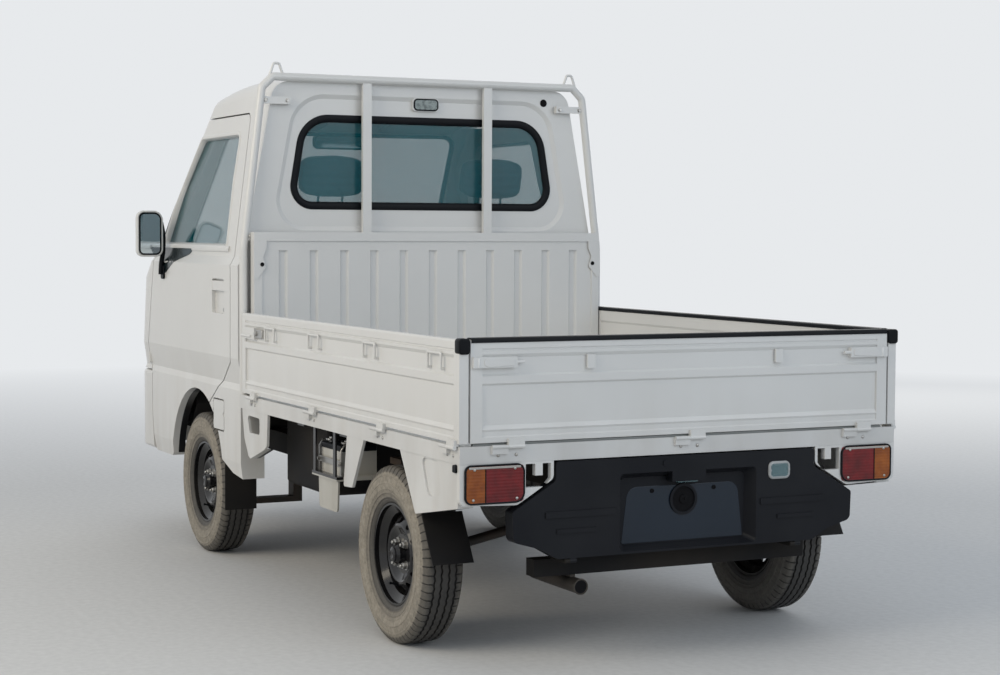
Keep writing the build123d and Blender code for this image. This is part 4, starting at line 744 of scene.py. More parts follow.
def wheel_nuts(centre_x, side):
    """Four nuts with their studs, a quarter turn apart."""
    shells = []
    for angle in math.pi / 4 + np.arange(4) * math.pi / 2:
        place = (centre_x + NUT_CIRCLE * math.cos(angle), side * HUB_FACE,
                 AXLE_Z + NUT_CIRCLE * math.sin(angle))
        shells += [hex_head(place, (0, side, 0), 19.0, 15.0), lathe(STUD_PROFILE, place, (0, side, 0), 14)]
    return shells


def valve_stem(centre_x, side):
    """Rubber valve that leans outwards from the rim's well."""
    spoke = np.array([math.cos(VALVE_ANGLE), 0.0, math.sin(VALVE_ANGLE)])
    start = np.array([centre_x, side * (WHEEL_Y + 12.0), AXLE_Z]) + spoke * VALVE_RADIUS
    return lathe(VALVE_PROFILE, start, np.array([0.0, side, 0.0]) * 0.94 - spoke * 0.25, 14)


for axle, centre_x in (("front", FRONT_AXLE_X), ("rear", REAR_AXLE_X)):
    for side_name, side in BOTH_SIDES:
        corner = axle + "_" + side_name
        wheel = "wheel_" + corner
        shell, dust = tyre_shell(centre_x, side)
        tread = make_piece("tread_" + corner, shell, "tyre_rubber", wheel, smooth_angle=30.0)
        layer = tread.data.attributes.new("dust", "FLOAT", "POINT")
        layer.data.foreach_set("value", dust.astype(np.float32))
        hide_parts("tyre_" + corner)
        make_piece("wheel_nuts_" + corner, wheel_nuts(centre_x, side), "bright_steel", wheel,
                   smooth_angle=30.0)
        cap = lathe(CAP_PROFILE, (centre_x, side * WHEEL_Y, AXLE_Z), (0, side, 0), 40)
        make_piece("hub_cap_" + corner, cap, "wheel_black", wheel)
        make_piece("valve_" + corner, valve_stem(centre_x, side), "window_rubber", wheel, "tyre_rubber")


# Window rubbers and door trim: each lip is a section of (outwards, inwards) round its window

DOOR_LIP = [(10.0, 0.3), (9.0, -1.8), (6.0, -3.0), (1.0, -3.2), (-4.0, -1.6), (-8.0, 4.0), (-11.5, 12.0),
            (-13.0, 19.0), (-12.0, 19.7), (-2.0, 19.7), (-1.2, 10.0), (-1.2, 1.0), (0.5, 0.3)]
SCREEN_LIP = [(17.0, 0.3), (16.0, -4.4), (12.0, -6.2), (4.0, -6.0), (-4.0, -3.4), (-10.0, 4.0), (-14.5, 12.0),
              (-16.0, 19.0), (-15.0, 19.7), (-2.0, 19.7), (-1.2, 10.0), (-1.2, 1.0), (0.5, 0.3)]
REAR_LIP = [(15.0, -0.2), (14.0, -2.6), (9.0, -4.2), (0.0, -4.4), (-8.0, -3.2), (-13.0, 0.5), (-14.0, 4.6),
            (-1.0, 4.8), (-0.6, 1.0), (2.0, -0.2)]
WINDOW_CORNERS = [(440, 1183), (1262, 1183), (1152, 1428), (990, 1608), (506, 1608), (494, 1432)]
WINDOW_RADII = [16, 14, 60, 60, 34, 90]
SCREEN_CORNERS = [(-570, 1150), (570, 1150), (500, 1650), (-500, 1650)]
SCREEN_RADII = [70, 70, 60, 60]
REAR_WINDOW_CORNERS = [(-530, 1338), (530, 1338), (478, 1656), (-478, 1656)]
REAR_WINDOW_RADII = [70, 70, 110, 110]
WALL_FIELD_X = CAB_REAR_X + 9
PILLAR_PATH = [(1275, 1190), (1217, 1318), (1168, 1428), (1118, 1510)]
SILL_PATH = [(396, 1176), (620, 1176), (850, 1176)]

make_pair("window_rubber", outline_strip(WINDOW_CORNERS, WINDOW_RADII, DOOR_LIP, side_surface), "white_paint",
          "{}_door")
make_piece("screen_rubber", outline_strip(SCREEN_CORNERS, SCREEN_RADII, SCREEN_LIP, front_surface),
           "window_rubber")
make_piece("rear_window_rubber", outline_strip(REAR_WINDOW_CORNERS, REAR_WINDOW_RADII, REAR_LIP,
                                               rear_plane(WALL_FIELD_X)), "window_rubber")
make_pair("pillar_strip", surface_strip(PILLAR_PATH, 8.0, 2.6, side_surface), "window_rubber", "{}_door")
make_pair("window_sill", surface_strip(SILL_PATH, 11.0, 7.0, side_surface), "white_paint", "{}_door")

# Dark panel under the window's front corner: its lower edge falls to the mirror's foot and rises again
QUARTER_LOW = [(852, 1172), (880, 1152), (1028, 1119), (1108, 1088), (1152, 1073), (1198, 1092), (1240, 1130),
               (1276, 1174)]
QUARTER_TOP_Z = 1177.0
quarter_low = smooth_path(QUARTER_LOW, 8)[:, None]
quarter_share = np.linspace(0.0, 1.0, 7)[None, :, None]
quarter_top = np.where([True, False], quarter_low, QUARTER_TOP_Z)
quarter_flat = quarter_low * (1 - quarter_share) + quarter_top * quarter_share
quarter = sheet_shell(side_surface(quarter_flat, -1.6), side_surface(quarter_flat, -0.2))
make_pair("quarter_panel", quarter, "black_gloss", "{}_door", "window_glass")

# Door mirrors, locks and the shadow in each grip's cup

MIRROR_FACE_X = 1141.5
SHELL_CORNERS = rectangle((746.5, 1137.5), (853.5, 1322.5))
SHELL_RADII = [30, 26, 30, 38]
SHELL_ROWS = [(30.0, 1190.0), (19.0, 1188.6), (10.0, 1184.5), (4.0, 1177.5), (1.0, 1168.0), (0.0, 1156.0),
              (0.0, 1144.0), (1.2, 1140.8), (4.0, 1139.6), (6.5, 1140.4), (7.5, 1142.0)]
GLASS_CORNERS = rectangle((756, 1147), (844, 1313))
GLASS_RADII = [22, 18, 20, 28]
GLASS_RIM = [(1.6, 0.8), (1.6, -2.0), (-1.0, -3.2), (-4.5, -2.0), (-4.5, 0.8)]
STAY_PATH = [(1171, 749, 1066), (1171, 746.5, 1110), (1171, 739, 1160), (1171, 738, 1225), (1171, 747, 1275)]
LOCK_PROFILE = [(0, 0), (8.5, 0), (8.5, 2.2), (7.0, 3.4), (2.2, 3.4), (1.6, 2.2), (0, 2.2)]
mirror_shell = slab(rounded_outline(SHELL_CORNERS, SHELL_RADII, 10), SHELL_ROWS, flat_place(0))
mirror_glass = plate(GLASS_CORNERS, GLASS_RADII, MIRROR_FACE_X - 1.8, MIRROR_FACE_X + 0.8)
mirror_rim = outline_strip(GLASS_CORNERS, GLASS_RADII, GLASS_RIM, rear_plane(MIRROR_FACE_X), 8.0)
mirror_foot = rounded_block((1151.5, 736.6, 1048), (1190.5, 744.5, 1102), 2.2, 1, 10.0)
mirror_stay = tube(smooth_path(STAY_PATH), 9.5, 18, across=LEFTWARD)
grip_shadow = rounded_block((394, 722.2, 1026), (528, 725.5, 1054), 1.0, 1, 4.0)
housings = make_pair("mirror_shell", mirror_shell, "white_paint", "{}_door", "mirror_plastic")
for housing, (side_name, _) in zip(housings, BOTH_SIDES):
    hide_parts("mirror_" + side_name)
make_pair("mirror_glass", mirror_glass, "mirror_glass", "{}_door")
make_pair("mirror_rim", mirror_rim, "window_rubber", "{}_door", "mirror_plastic")
make_pair("mirror_stay", [mirror_stay, mirror_foot], "window_rubber", "{}_door", "mirror_plastic")
make_pair("door_lock", lathe(LOCK_PROFILE, (428, 722, 951), LEFTWARD, 24), "bright_steel", "{}_door")
make_pair("grip_shadow", grip_shadow, "cavity_shade_and_rubber", "{}_door", "cabin_plastic")


# Rear wall: work lamp, round plug, and the bolts of the load guard and headboard

WORK_LAMP = rectangle((-46, 1699), (46, 1736))
WORK_LAMP_RADII = [12] * 4
WORK_LAMP_FACE = 222.0
WORK_LAMP_RIM = [(4.5, 0.2), (4.0, -3.4), (0.5, -4.0), (-1.0, -2.5), (-0.8, 0.2)]
PLUG_PROFILE = [(0, 0), (13.5, 0), (14.5, 1.2), (13.0, 2.8), (9.5, 1.8), (0, 1.6)]
# Bolts: face, distance from the middle, level and width across flats
GUARD_BOLTS = [(200, 555, 1715, 12), (200, 640, 1715, 12), (190, 699, 1225, 13), (190, 262, 1225, 11)]
work_lens = plate(WORK_LAMP, WORK_LAMP_RADII, WORK_LAMP_FACE - 3.0, WORK_LAMP_FACE + 0.4, radius=1.5)
work_bars = [rounded_block((WORK_LAMP_FACE - 3.6, -38, z), (WORK_LAMP_FACE - 2.4, 38, z + 2), 0.5)
             for z in range(1706, 1732, 5)]
work_rim = outline_strip(WORK_LAMP, WORK_LAMP_RADII, WORK_LAMP_RIM, rear_plane(WORK_LAMP_FACE), 6.0)
make_piece("work_lamp_lens", [work_lens] + work_bars, "work_lens")
make_piece("work_lamp_rim", work_rim, "window_rubber")
make_piece("wall_plug", lathe(PLUG_PROFILE, (CAB_REAR_X + 0.2, -497, 1740), REARWARD, 28), "cavity_shade_and_rubber",
           slot="flap_rubber")
make_piece("guard_bolts", [hex_head((x, side * y, z), REARWARD, flats, 6.5)
                           for x, y, z, flats in GUARD_BOLTS for _, side in BOTH_SIDES], "bright_steel",
           slot="body_paint", smooth_angle=30.0)

# Hooked plates at the headboard's two ends, each with a dark ring painted as the shade in its hole; drawn for
# the right side
END_PLATE = [(-703, 1072), (-690, 1072), (-672, 1094), (-657, 1112), (-668, 1150), (-654, 1184), (-654, 1212),
             (-703, 1212)]
END_PLATE_RADII = [1, 6, 8, 8, 12, 10, 3, 3]
END_PLATE_X = HEADBOARD_X - 8.4
END_HOLE_PROFILE = [(0, 0.2), (5.0, 0.2), (7.0, 0.6), (7.6, 1.6), (6.6, 2.0), (4.8, 1.0), (0, 1.0)]
end_plate = plate(END_PLATE, END_PLATE_RADII, END_PLATE_X, END_PLATE_X + 3.0)
end_hole = lathe(END_HOLE_PROFILE, (END_PLATE_X + 0.2, -672, 1124), REARWARD)
make_pair("headboard_plate", mirrored(end_plate), "white_paint")
make_pair("headboard_hole", mirrored(end_hole), "cavity_shade_and_rubber", slot="chassis_paint")


# Gates: rubber on the top rails, corner caps, latches and hinge screws

STRIP_OVER = 2.3


def rail_strip(low, high):
    """Rubber's section over a rail: a low arch with two lips that hug the rail's sides."""
    low, high = low - STRIP_OVER, high + STRIP_OVER
    middle, half = (low + high) / 2, (high - low) / 2
    lip, under, wall = GATE_TOP_Z - 9.0, GATE_TOP_Z + 0.3, 2.0
    arch = [(middle + half * math.cos(t), GATE_TOP_Z + 0.5 + 5.0 * math.sin(t))
            for t in np.linspace(0, math.pi, 9)]
    return arch + [(low, lip), (low + wall, lip), (low + wall, under),
                   (high - wall, under), (high - wall, lip), (high, lip)]


def straight_sweep(profile, start, end, along):
    """Section carried straight from start to end along x (0) or y (1)."""
    path, side, up = np.zeros((12, 3)), np.zeros((12, 3)), np.zeros((12, 3))
    path[:, along], side[:, 1 - along], up[:, 2] = np.linspace(start, end, 12), 1.0, 1.0
    return sweep(path, side, up, profile, closed=False)


tail_strip = straight_sweep(rail_strip(BODY_REAR_X, BODY_REAR_X + GATE_THICK),
                            -TAIL_HALF + 2, TAIL_HALF - 2, 1)
right_strip = straight_sweep(rail_strip(-GATE_OUTER_Y, -GATE_INNER_Y),
                             BODY_REAR_X + 42, GATE_FRONT_X - 8, 0)
corner_cap = rounded_block((BODY_REAR_X - 7.5, TAIL_HALF + 3.5, GATE_TOP_Z - 40),
                           (BODY_REAR_X + 26, GATE_OUTER_Y + 3.5, GATE_TOP_Z + 4), 4.0, 0, 9.0)
make_piece("tailgate_strip", tail_strip, "window_rubber", "rear_gate")
make_piece("gate_strip_right", right_strip, "window_rubber", "right_gate")
make_pair("rail_cap", corner_cap, "window_rubber", "{}_gate")

TAIL_LEVER = [(572, 878), (650, 874), (664, 880), (664, 894), (650, 900), (572, 896)]
tail_lever = plate(TAIL_LEVER, [5, 6, 5, 5, 6, 5], BODY_REAR_X - 13.2, BODY_REAR_X - 10.8)
tail_boss = lathe([(0, 0), (7.5, 0), (7.5, 24), (5.5, 27), (0, 27)], (BODY_REAR_X - 5, 680, 873), UPWARD)
make_pair("tail_latch", [tail_lever, tail_boss], "white_paint", "rear_gate")
RECESS_Y = GATE_OUTER_Y - 9
side_lever = rounded_block((-46, RECESS_Y, 868), (33, GATE_OUTER_Y + 5, 898), 2.5, 1, 7.0)
side_pivot = lathe([(0, 0), (9, 0), (9, 5), (6, 7), (0, 7)], (16, GATE_OUTER_Y + 4.6, 883), LEFTWARD, 24)
make_pair("side_latch", [side_lever, side_pivot], "bright_steel", "{}_gate")

# Small brackets under the tailgate's rail, and screws on the hinge leaves
BRACKETS_Y = (326, -307)
TAIL_HINGES_Y = (-588, 0, 588)
SIDE_HINGES_X = (67, -528, -1112, -1622)
SILL_SCREW_Z = 628.0
for number, y in enumerate(BRACKETS_Y):
    bracket = plate(rectangle((y - 13, 862), (y + 13, 903)), [5, 5, 1, 1], BODY_REAR_X - 5.4, BODY_REAR_X + 4,
                    radius=1.2)
    make_piece("tail_bracket_%d" % number, bracket, "white_paint", "rear_gate")
make_piece("tail_hinge_screws", [screw_head((BODY_REAR_X - 0.1, y + dy, SILL_SCREW_Z), REARWARD, 5.0, 3.2)
                                 for y in TAIL_HINGES_Y for dy in (-28, 28)], "bright_steel")
make_pair("side_hinge_screws", [screw_head((x + dx, GATE_OUTER_Y - 2.2, SILL_SCREW_Z), LEFTWARD, 5.0, 3.4)
                                for x in SIDE_HINGES_X for dx in (-20, 20)], "bright_steel")

# Seal under the tailgate, its mid grey painted as the soft shade in the gap, and the rubber stoppers at the
# sills' rear ends
STOPPER_X, STOPPER_Z = -1657.0, 593.0
tail_seal_shade = rounded_block((BODY_REAR_X + 8, -690, FLOOR_Z - 0.5),
                          (BODY_REAR_X + 20, 690, FLOOR_Z + 6.6), 1.5, 1, 2.0)
stopper = rounded_block((STOPPER_X - 12, GATE_OUTER_Y - 9, STOPPER_Z - 11),
                        (STOPPER_X + 12, GATE_OUTER_Y + 4, STOPPER_Z + 11), 3.0, 1, 5.0)
make_piece("tail_seal_shade", tail_seal_shade, "cabin_trim", slot="flap_rubber")
make_pair("sill_stopper", stopper, "window_rubber")


# Tail lamps, reverse lamp, and what sits in the skirt's plate pocket

LENS_FACE_X = -1689.0
LENS_CORNERS = rectangle((538, 497), (716, 601))
LENS_RADII = [26, 18, 16, 22]
LENS_GASKET = [(3.4, 5.2), (3.4, -1.0), (1.0, -2.0), (-1.6, -0.6), (-1.6, 5.2)]
LENS_SCREWS = [(566, 591), (690, 591), (560, 507), (694, 507)]
lens_trim = plate(rectangle((548, 592.5), (708, 598.5)), [2.5] * 4, LENS_FACE_X - 2.2, LENS_FACE_X + 0.5)
lens_screws = [screw_head((LENS_FACE_X - 0.2, y, z), REARWARD, 4.2, 3.0) for y, z in LENS_SCREWS]
lens_divider = plate(rectangle((654.6, 499), (657.4, 592)), [0.8] * 4, LENS_FACE_X - 1.4, LENS_FACE_X + 0.5,
                     radius=0.4)
make_pair("lens_gasket", outline_strip(LENS_CORNERS, LENS_RADII, LENS_GASKET, rear_plane(LENS_FACE_X), 8.0),
          "window_rubber")
make_pair("lens_trim", [lens_trim] + lens_screws, "bright_steel")
make_pair("lens_divider", lens_divider, "window_rubber", slot="lamp_lens")

REVERSE_CORNERS = rectangle((-341, 523), (-279, 563))
REVERSE_RADII = [10] * 4
REVERSE_RIM = [(6.5, 0.6), (6.0, -4.0), (1.0, -6.5), (-2.0, -4.5), (-2.0, 0.6)]
reverse_frame = outline_strip(REVERSE_CORNERS, REVERSE_RADII, REVERSE_RIM, rear_plane(LID_X), 6.0)
reverse_screws = [screw_head((LID_X - 5.6, y, 543), REARWARD, 3.6, 2.6) for y in (-342.5, -277.5)]
reverse_back = plate(REVERSE_CORNERS, REVERSE_RADII, LID_X - 1.4, LID_X + 0.6)
reverse_lens = plate(REVERSE_CORNERS, REVERSE_RADII, LID_X - 5.6, LID_X - 1.8, radius=1.4)
reverse_bars = [rounded_block((LID_X - 6.2, -337, z), (LID_X - 5.2, -283, z + 2), 0.4)
                for z in range(528, 560, 6)]
make_piece("reverse_frame", [reverse_frame] + reverse_screws, "lamp_frame", "rear_skirt")
make_piece("reverse_reflector", reverse_back, "reflector", "rear_skirt")
make_piece("reverse_lens", [reverse_lens] + reverse_bars, "small_lens", "rear_skirt")

POCKET_X = -1652.0
BLANK_CORNERS = [(-206, 349), (206, 349), (186, 512), (-186, 512)]
PLATE_SCREWS_Y, PLATE_SCREW_Z = (-105, 105), 498.0
PLATE_LAMP_Z = 527.0
BOSS_Z = 469.0
BOSS_PROFILE = [(0, 0.6), (37.5, 0.6), (37.5, 1.6), (17.0, 1.6), (14.0, 2.4), (13.0, 5.6), (11.0, 6.2),
                (4.5, 6.0), (3.5, 4.0), (0, 4.0)]
SLEEVE_PROFILE = [(0, 0.5), (6.5, 0.5), (6.5, 3.0), (4.2, 3.6), (3.8, 2.4), (0, 2.2)]
plate_lens = rounded_block((LID_X + 5, -36, PLATE_LAMP_Z - 5.5),
                           (LID_X + 24, 36, PLATE_LAMP_Z + 1), 2.0, 2, 5.0)
sleeves = [lathe(SLEEVE_PROFILE, (POCKET_X, y, PLATE_SCREW_Z), REARWARD) for y in PLATE_SCREWS_Y]
make_piece("plate_blank", plate(BLANK_CORNERS, [5, 5, 34, 34], POCKET_X - 1.0, POCKET_X + 0.5), "plate_blank",
           "rear_skirt")
# Dark disc of the boss: painted shade in its recess round the knob; the sleeves' dark centres are painted
# shade in the screw holes
make_piece("plate_boss", lathe(BOSS_PROFILE, (POCKET_X, 0, BOSS_Z), REARWARD, 40), "cavity_shade_and_rubber",
           "rear_skirt")
make_piece("plate_sleeves", sleeves, "cavity_shade_and_rubber", "rear_skirt")
make_piece("plate_lamp_lens", plate_lens, "small_lens", "rear_skirt")

EXHAUST_END = (-1640.2, 330.0, 232.0)
BORE_PROFILE = [(0, -1.0), (19.0, -1.0), (19.0, 0.6), (0, 0.6)]
LIP_PROFILE = [(0, -6.0), (22.6, -6.0), (23.4, -2.0), (23.0, 1.6), (21.0, 2.0), (19.4, 0.2), (0, 0.2)]
make_piece("exhaust_lip", lathe(LIP_PROFILE, EXHAUST_END, REARWARD, 32), "pipe_steel")
# Dark disc inside the lip: painted shade in the pipe's bore
make_piece("exhaust_bore", lathe(BORE_PROFILE, EXHAUST_END, REARWARD, 32), "cavity_shade_and_rubber",
           slot="exhaust_steel")


# Battery: dark cell lid with caps, terminals with their clamps, and the bar that holds it down

BATTERY_X = (-663.0, -477.0)
BATTERY_Y = (560.0, 680.0)
BATTERY_TOP = 549.0
CELL_CAP = [(0, 0), (11, 0), (11, 5), (9, 6.5), (3, 6.5), (2.5, 5.5), (0, 5.5)]
POST_PROFILE = [(0, 0), (8.5, 0), (7.5, 16), (6.5, 17), (0, 17)]


def battery_ends(inset):
    """Both ends of the battery, moved in by an inset."""
    return BATTERY_X[0] + inset, BATTERY_X[1] - inset


battery_lid = rounded_block((BATTERY_X[0] - 2, BATTERY_Y[0] - 2, BATTERY_TOP - 16),
                            (BATTERY_X[1] + 2, BATTERY_Y[1] + 2, BATTERY_TOP + 3), 2.5, 2, 7.0)
cell_caps = [lathe(CELL_CAP, (x, 620, BATTERY_TOP + 2.8), UPWARD) for x in np.linspace(*battery_ends(26), 6)]
battery_posts = [lathe(POST_PROFILE, (x, 655, BATTERY_TOP + 2.5), UPWARD) for x in battery_ends(24)]
post_clamps = [rounded_block((x - 15, 642, BATTERY_TOP + 6), (x + 15, 671, BATTERY_TOP + 14), 2.0, 2, 8.0)
               for x in battery_ends(24)]
clamp_bar = rounded_block((BATTERY_X[0] - 9, 684, 486), (BATTERY_X[1] + 9, 688, 505), 1.2, 1, 3.0)
clamp_rods = [tube([(x, 686, 456), (x, 686, 500), (x, 686, 538), (x, 674, 556), (x, 640, 559)], 3.2, 10,
                   across=FORWARD) for x in battery_ends(-5)]
clamp_nuts = [hex_head((x, 688, 495), LEFTWARD, 10.0, 6.0) for x in battery_ends(-3)]
make_piece("battery_lid", [battery_lid] + cell_caps, "window_rubber", slot="battery_plastic")
make_piece("battery_posts", battery_posts + post_clamps, "bright_steel")
make_piece("battery_clamp", [clamp_bar] + clamp_rods + clamp_nuts, "bright_steel")


# Headlamps: reflector sheet, bowl and bulb behind the glass, and an amber lamp round the corner

LAMP_RISE = (752.0, 858.0)
LAMP_IN_Y, LAMP_OUT_Y = 448.0, 610.0
BOWL_Y, BOWL_Z = 556.0, 805.0
BOWL_PROFILE = [(0, -1.0), (46, -1.0), (47, 0.2), (45.5, 2.0), (30, -0.4), (16, -0.8), (0, -0.8)]
BULB_PROFILE = [(0, 0), (7, 0), (7.5, 8), (6.5, 14), (4, 17), (0, 18)]
CORNER_LAMP = (math.radians(38), math.radians(78))


def lamp_sheet(surface, first, second, outer_depth, inner_depth):
    """Sheet between two depths over a grid of levels and places along the nose."""
    z, place = np.meshgrid(np.linspace(*LAMP_RISE, 12), np.linspace(first, second, 16), indexing="ij")
    return sheet_shell(surface(place, z, outer_depth), surface(place, z, inner_depth))


lamp_back = lamp_sheet(nose_point, LAMP_IN_Y, LAMP_OUT_Y, 28.0, 31.0)
bowl_x = float(cab_front_x(np.array(BOWL_Y), np.array(BOWL_Z))) - 27.5
bowl = lathe(BOWL_PROFILE, (bowl_x + 3, BOWL_Y, BOWL_Z), FORWARD, 40)
bulb = lathe(BULB_PROFILE, (bowl_x + 2, BOWL_Y, BOWL_Z), FORWARD)
lamp_bars = [lamp_sheet(nose_point, y, y + 2.5, 5.0, 9.0) for y in range(470, 620, 15)]
make_pair("lamp_reflector", [lamp_back, bowl, bulb], "reflector")
make_pair("corner_lamp", lamp_sheet(corner_point, *CORNER_LAMP, 7.0, 26.0), "amber_lens")
make_pair("lamp_flutes", lamp_bars, "small_lens")


# Wipers, washer jets, and behind the bumper's slots a mesh's bars on a dark sheet that is painted shade

WIPERS = ((430.0, -60.0), (-60.0, -520.0))
WIPER_PIVOT_Z = 1126.0
JETS_Y, JET_Z = (-260, 260), 1096.0
PIVOT_PROFILE = [(0, 0), (12, 0), (12, 12), (8, 17), (0, 17)]
JET_PROFILE = [(0, 0), (6, 0), (6, 4), (3.5, 6.5), (0, 6.5)]


def on_screen(y, z, lift):
    """Point above the windscreen at (y, z)."""
    return nose_point(np.array(y, dtype=float), np.array(z, dtype=float), -lift)


for number, (pivot_y, tip_y) in enumerate(WIPERS):
    run = np.linspace(0, 1, 14)
    arm_y = pivot_y + (tip_y - pivot_y) * 0.55 * run
    arm_path = on_screen(arm_y, WIPER_PIVOT_Z + 58 * run, 13.0 + 5 * np.sin(math.pi * run))
    arm = tube(arm_path, 4.2, 10, flatten=0.6)
    blade_y = pivot_y + (tip_y - pivot_y) * (0.12 + 0.86 * run)
    blade = tube(on_screen(blade_y, WIPER_PIVOT_Z + 48 + 16 * run, 7.0), 5.0, 10, flatten=1.3)
    pivot = lathe(PIVOT_PROFILE, on_screen(pivot_y, WIPER_PIVOT_Z, 0.5), (0.8, 0, 0.6))
    make_piece("wiper_%d" % number, [arm, blade, pivot], "window_rubber")
jets = [lathe(JET_PROFILE, on_screen(y, JET_Z, -0.5), (0.75, 0, 0.66), 16) for y in JETS_Y]
make_piece("washer_jets", jets, "window_rubber")

# Dark sheet behind the slots: painted shade, with the mesh's bars in front of it
mesh_z, mesh_y = np.meshgrid(np.linspace(424, 543, 8), np.linspace(-345, 345, 24), indexing="ij")
mesh_back = sheet_shell(nose_point(mesh_y, mesh_z, 46.0), nose_point(mesh_y, mesh_z, 49.0))
mesh_bars = [tube(nose_point(np.full(6, y), np.linspace(426, 541, 6), 44.0), 2.2, 6)
             for y in np.arange(-330, 331, 22.0)]
make_piece("slot_mesh", [mesh_back] + mesh_bars, "cavity_shade_and_rubber")


# Cabin: hub pad, stalks, dials, vents, radio panel, levers, pedals, mirror, visors and belts

HAND_WHEEL = np.array((1150.0, -330.0, 1075.0))
COLUMN_FOOT = np.array((1420.0, -330.0, 930.0))
COLUMN_AXIS = (HAND_WHEEL - COLUMN_FOOT) / np.linalg.norm(HAND_WHEEL - COLUMN_FOOT)
SHROUD_AT = HAND_WHEEL - COLUMN_AXIS * 60
HUB_PROFILE = [(0, 10), (62, 10), (64, 16), (58, 26), (40, 31), (0, 33)]
SHROUD_PROFILE = [(0, -60), (30, -60), (38, -40), (40, 10), (34, 22), (0, 22)]
STALK_PATH = np.array([(0, 20, 0), (-4, 90, 14), (-10, 165, 22)])
shroud = lathe(SHROUD_PROFILE, SHROUD_AT, COLUMN_AXIS, 28)
stalks = [tube(smooth_path(SHROUD_AT + STALK_PATH * (1, side, 1), 5), 5.5) for side in (-1, 1)]
make_piece("hub_pad", lathe(HUB_PROFILE, HAND_WHEEL, COLUMN_AXIS, 36), "cabin_grey", "hand_wheel")
make_piece("column_stalks", [shroud] + stalks, "window_rubber", slot="cabin_plastic")

DASH_X = 1332.0
DIALS = ((-360, 17), (-310, 21), (-262, 14))
VENTS_Y = (-530, -90, 90, 530)
VENT_RIM = [(4, 1), (4, -3), (0, -4), (-2, -2), (-2, 1)]
KNOBS = ((-72, 926), (72, 926), (-52, 974), (0, 974), (52, 974))
KNOB_PROFILE = [(0, 0), (9, 0), (8.5, 12), (7, 14), (0, 14)]
dials = [lathe([(0, 0), (r, 0), (r, 3), (r - 3, 4.5), (r - 5, 1.6), (0, 1.6)], (1351, y, 1084), REARWARD, 32)
         for y, r in DIALS]
vents = []
for y in VENTS_Y:
    mouth = rectangle((y - 44, 990), (y + 44, 1026))
    vents.append(outline_strip(mouth, [7] * 4, VENT_RIM, rear_plane(DASH_X - 1), 8.0))
    vents += [rounded_block((DASH_X - 2.6, y - 42, z), (DASH_X + 0.5, y + 42, z + 3), 0.8)
              for z in range(993, 1024, 7)]
radio = [rounded_block((DASH_X - 4, -88, 900), (DASH_X + 0.5, 88, 952), 1.5, 0, 4.0)]
radio += [lathe(KNOB_PROFILE, (DASH_X - 3.8, y, z), REARWARD, 24) for y, z in KNOBS]
radio += [rounded_block((DASH_X - 6, y, 910), (DASH_X - 3.5, y + 13, 917), 0.6) for y in range(-50, 50, 17)]
make_piece("dials", dials, "black_gloss")
make_piece("dash_vents", vents, "window_rubber", slot="cabin_plastic")
make_piece("radio_panel", radio, "black_gloss")

GEAR_PATH = [(1010, 60, 690), (1000, 58, 790), (985, 52, 900), (975, 45, 960)]
BOOT_PROFILE = [(0, 0), (58, 0), (52, 8), (36, 26), (44, 36), (26, 54), (32, 62), (14, 84), (0, 86)]
GEAR_KNOB = [(0, -6), (13, -4), (19, 8), (20, 20), (15, 32), (0, 37)]
BRAKE_PATH = [(640, 40, 700), (760, 40, 735), (860, 40, 770), (930, 40, 800)]
PEDALS = ((-420, 50), (-350, 58), (-262, 42))
boot = lathe(BOOT_PROFILE, (1008, 60, 684), UPWARD, 32)
gear_knob = lathe(GEAR_KNOB, (974, 44, 956), (-0.15, -0.1, 1), 24)
brake_foot = rounded_block((600, 22, 686), (700, 58, 722), 6, 2, 8)
pedals = []
for y, width in PEDALS:
    pedals.append(rounded_block((1282, y - width / 2, 560), (1292, y + width / 2, 632), 2.5, 0, 8.0))
    pedals.append(tube(smooth_path([(1290, y, 610), (1330, y, 700), (1400, y, 850)], 6), 6.0, 10))
for name, shells in (("gear_lever", [tube(smooth_path(GEAR_PATH, 6), 6.5), boot, gear_knob]),
                     ("hand_brake", [tube(smooth_path(BRAKE_PATH, 6), 9.0, 14), brake_foot]),
                     ("pedals", pedals)):
    make_piece(name, shells, "window_rubber", slot="cabin_plastic")

MIRROR_ARM = [(1132, 0, 1620), (1120, 0, 1660), (1095, 0, 1700)]
VISOR_X = 880.0
VISOR_FALL = math.tan(math.radians(12))
BELT_PATH = [(330, 590, 1490), (318, 606, 1300), (306, 622, 1000), (312, 628, 760)]
inner_mirror = rounded_block((1112, -115, 1582), (1134, 115, 1642), 8.0, 0, 22.0)
inner_face = plate(rectangle((-106, 1589), (106, 1635)), [18] * 4, 1110.6, 1113.0)
visors, visor_faces = join([rounded_block((VISOR_X, side * 130, 1676), (VISOR_X + 140, side * 460, 1692),
                                          7.0, 2, 26.0) for side in (-1, 1)])
visors[:, 2] -= (visors[:, 0] - VISOR_X) * VISOR_FALL
belt = tube(smooth_path(BELT_PATH), 22.0, across=LEFTWARD, flatten=0.06)
belt_guide = rounded_block((318, 576, 1470), (340, 606, 1510), 5.0, 0, 8.0)
make_piece("inner_mirror", [inner_mirror, tube(smooth_path(MIRROR_ARM, 5), 7.0)], "window_rubber",
           slot="cabin_plastic")
make_piece("inner_mirror_glass", inner_face, "mirror_glass")
make_piece("sun_visors", (visors, visor_faces), "cabin_trim")
make_pair("seat_belt", [belt, belt_guide], "window_rubber", slot="cabin_plastic")


# Seats: padded pieces swollen by cloth simulation inside their solids' space

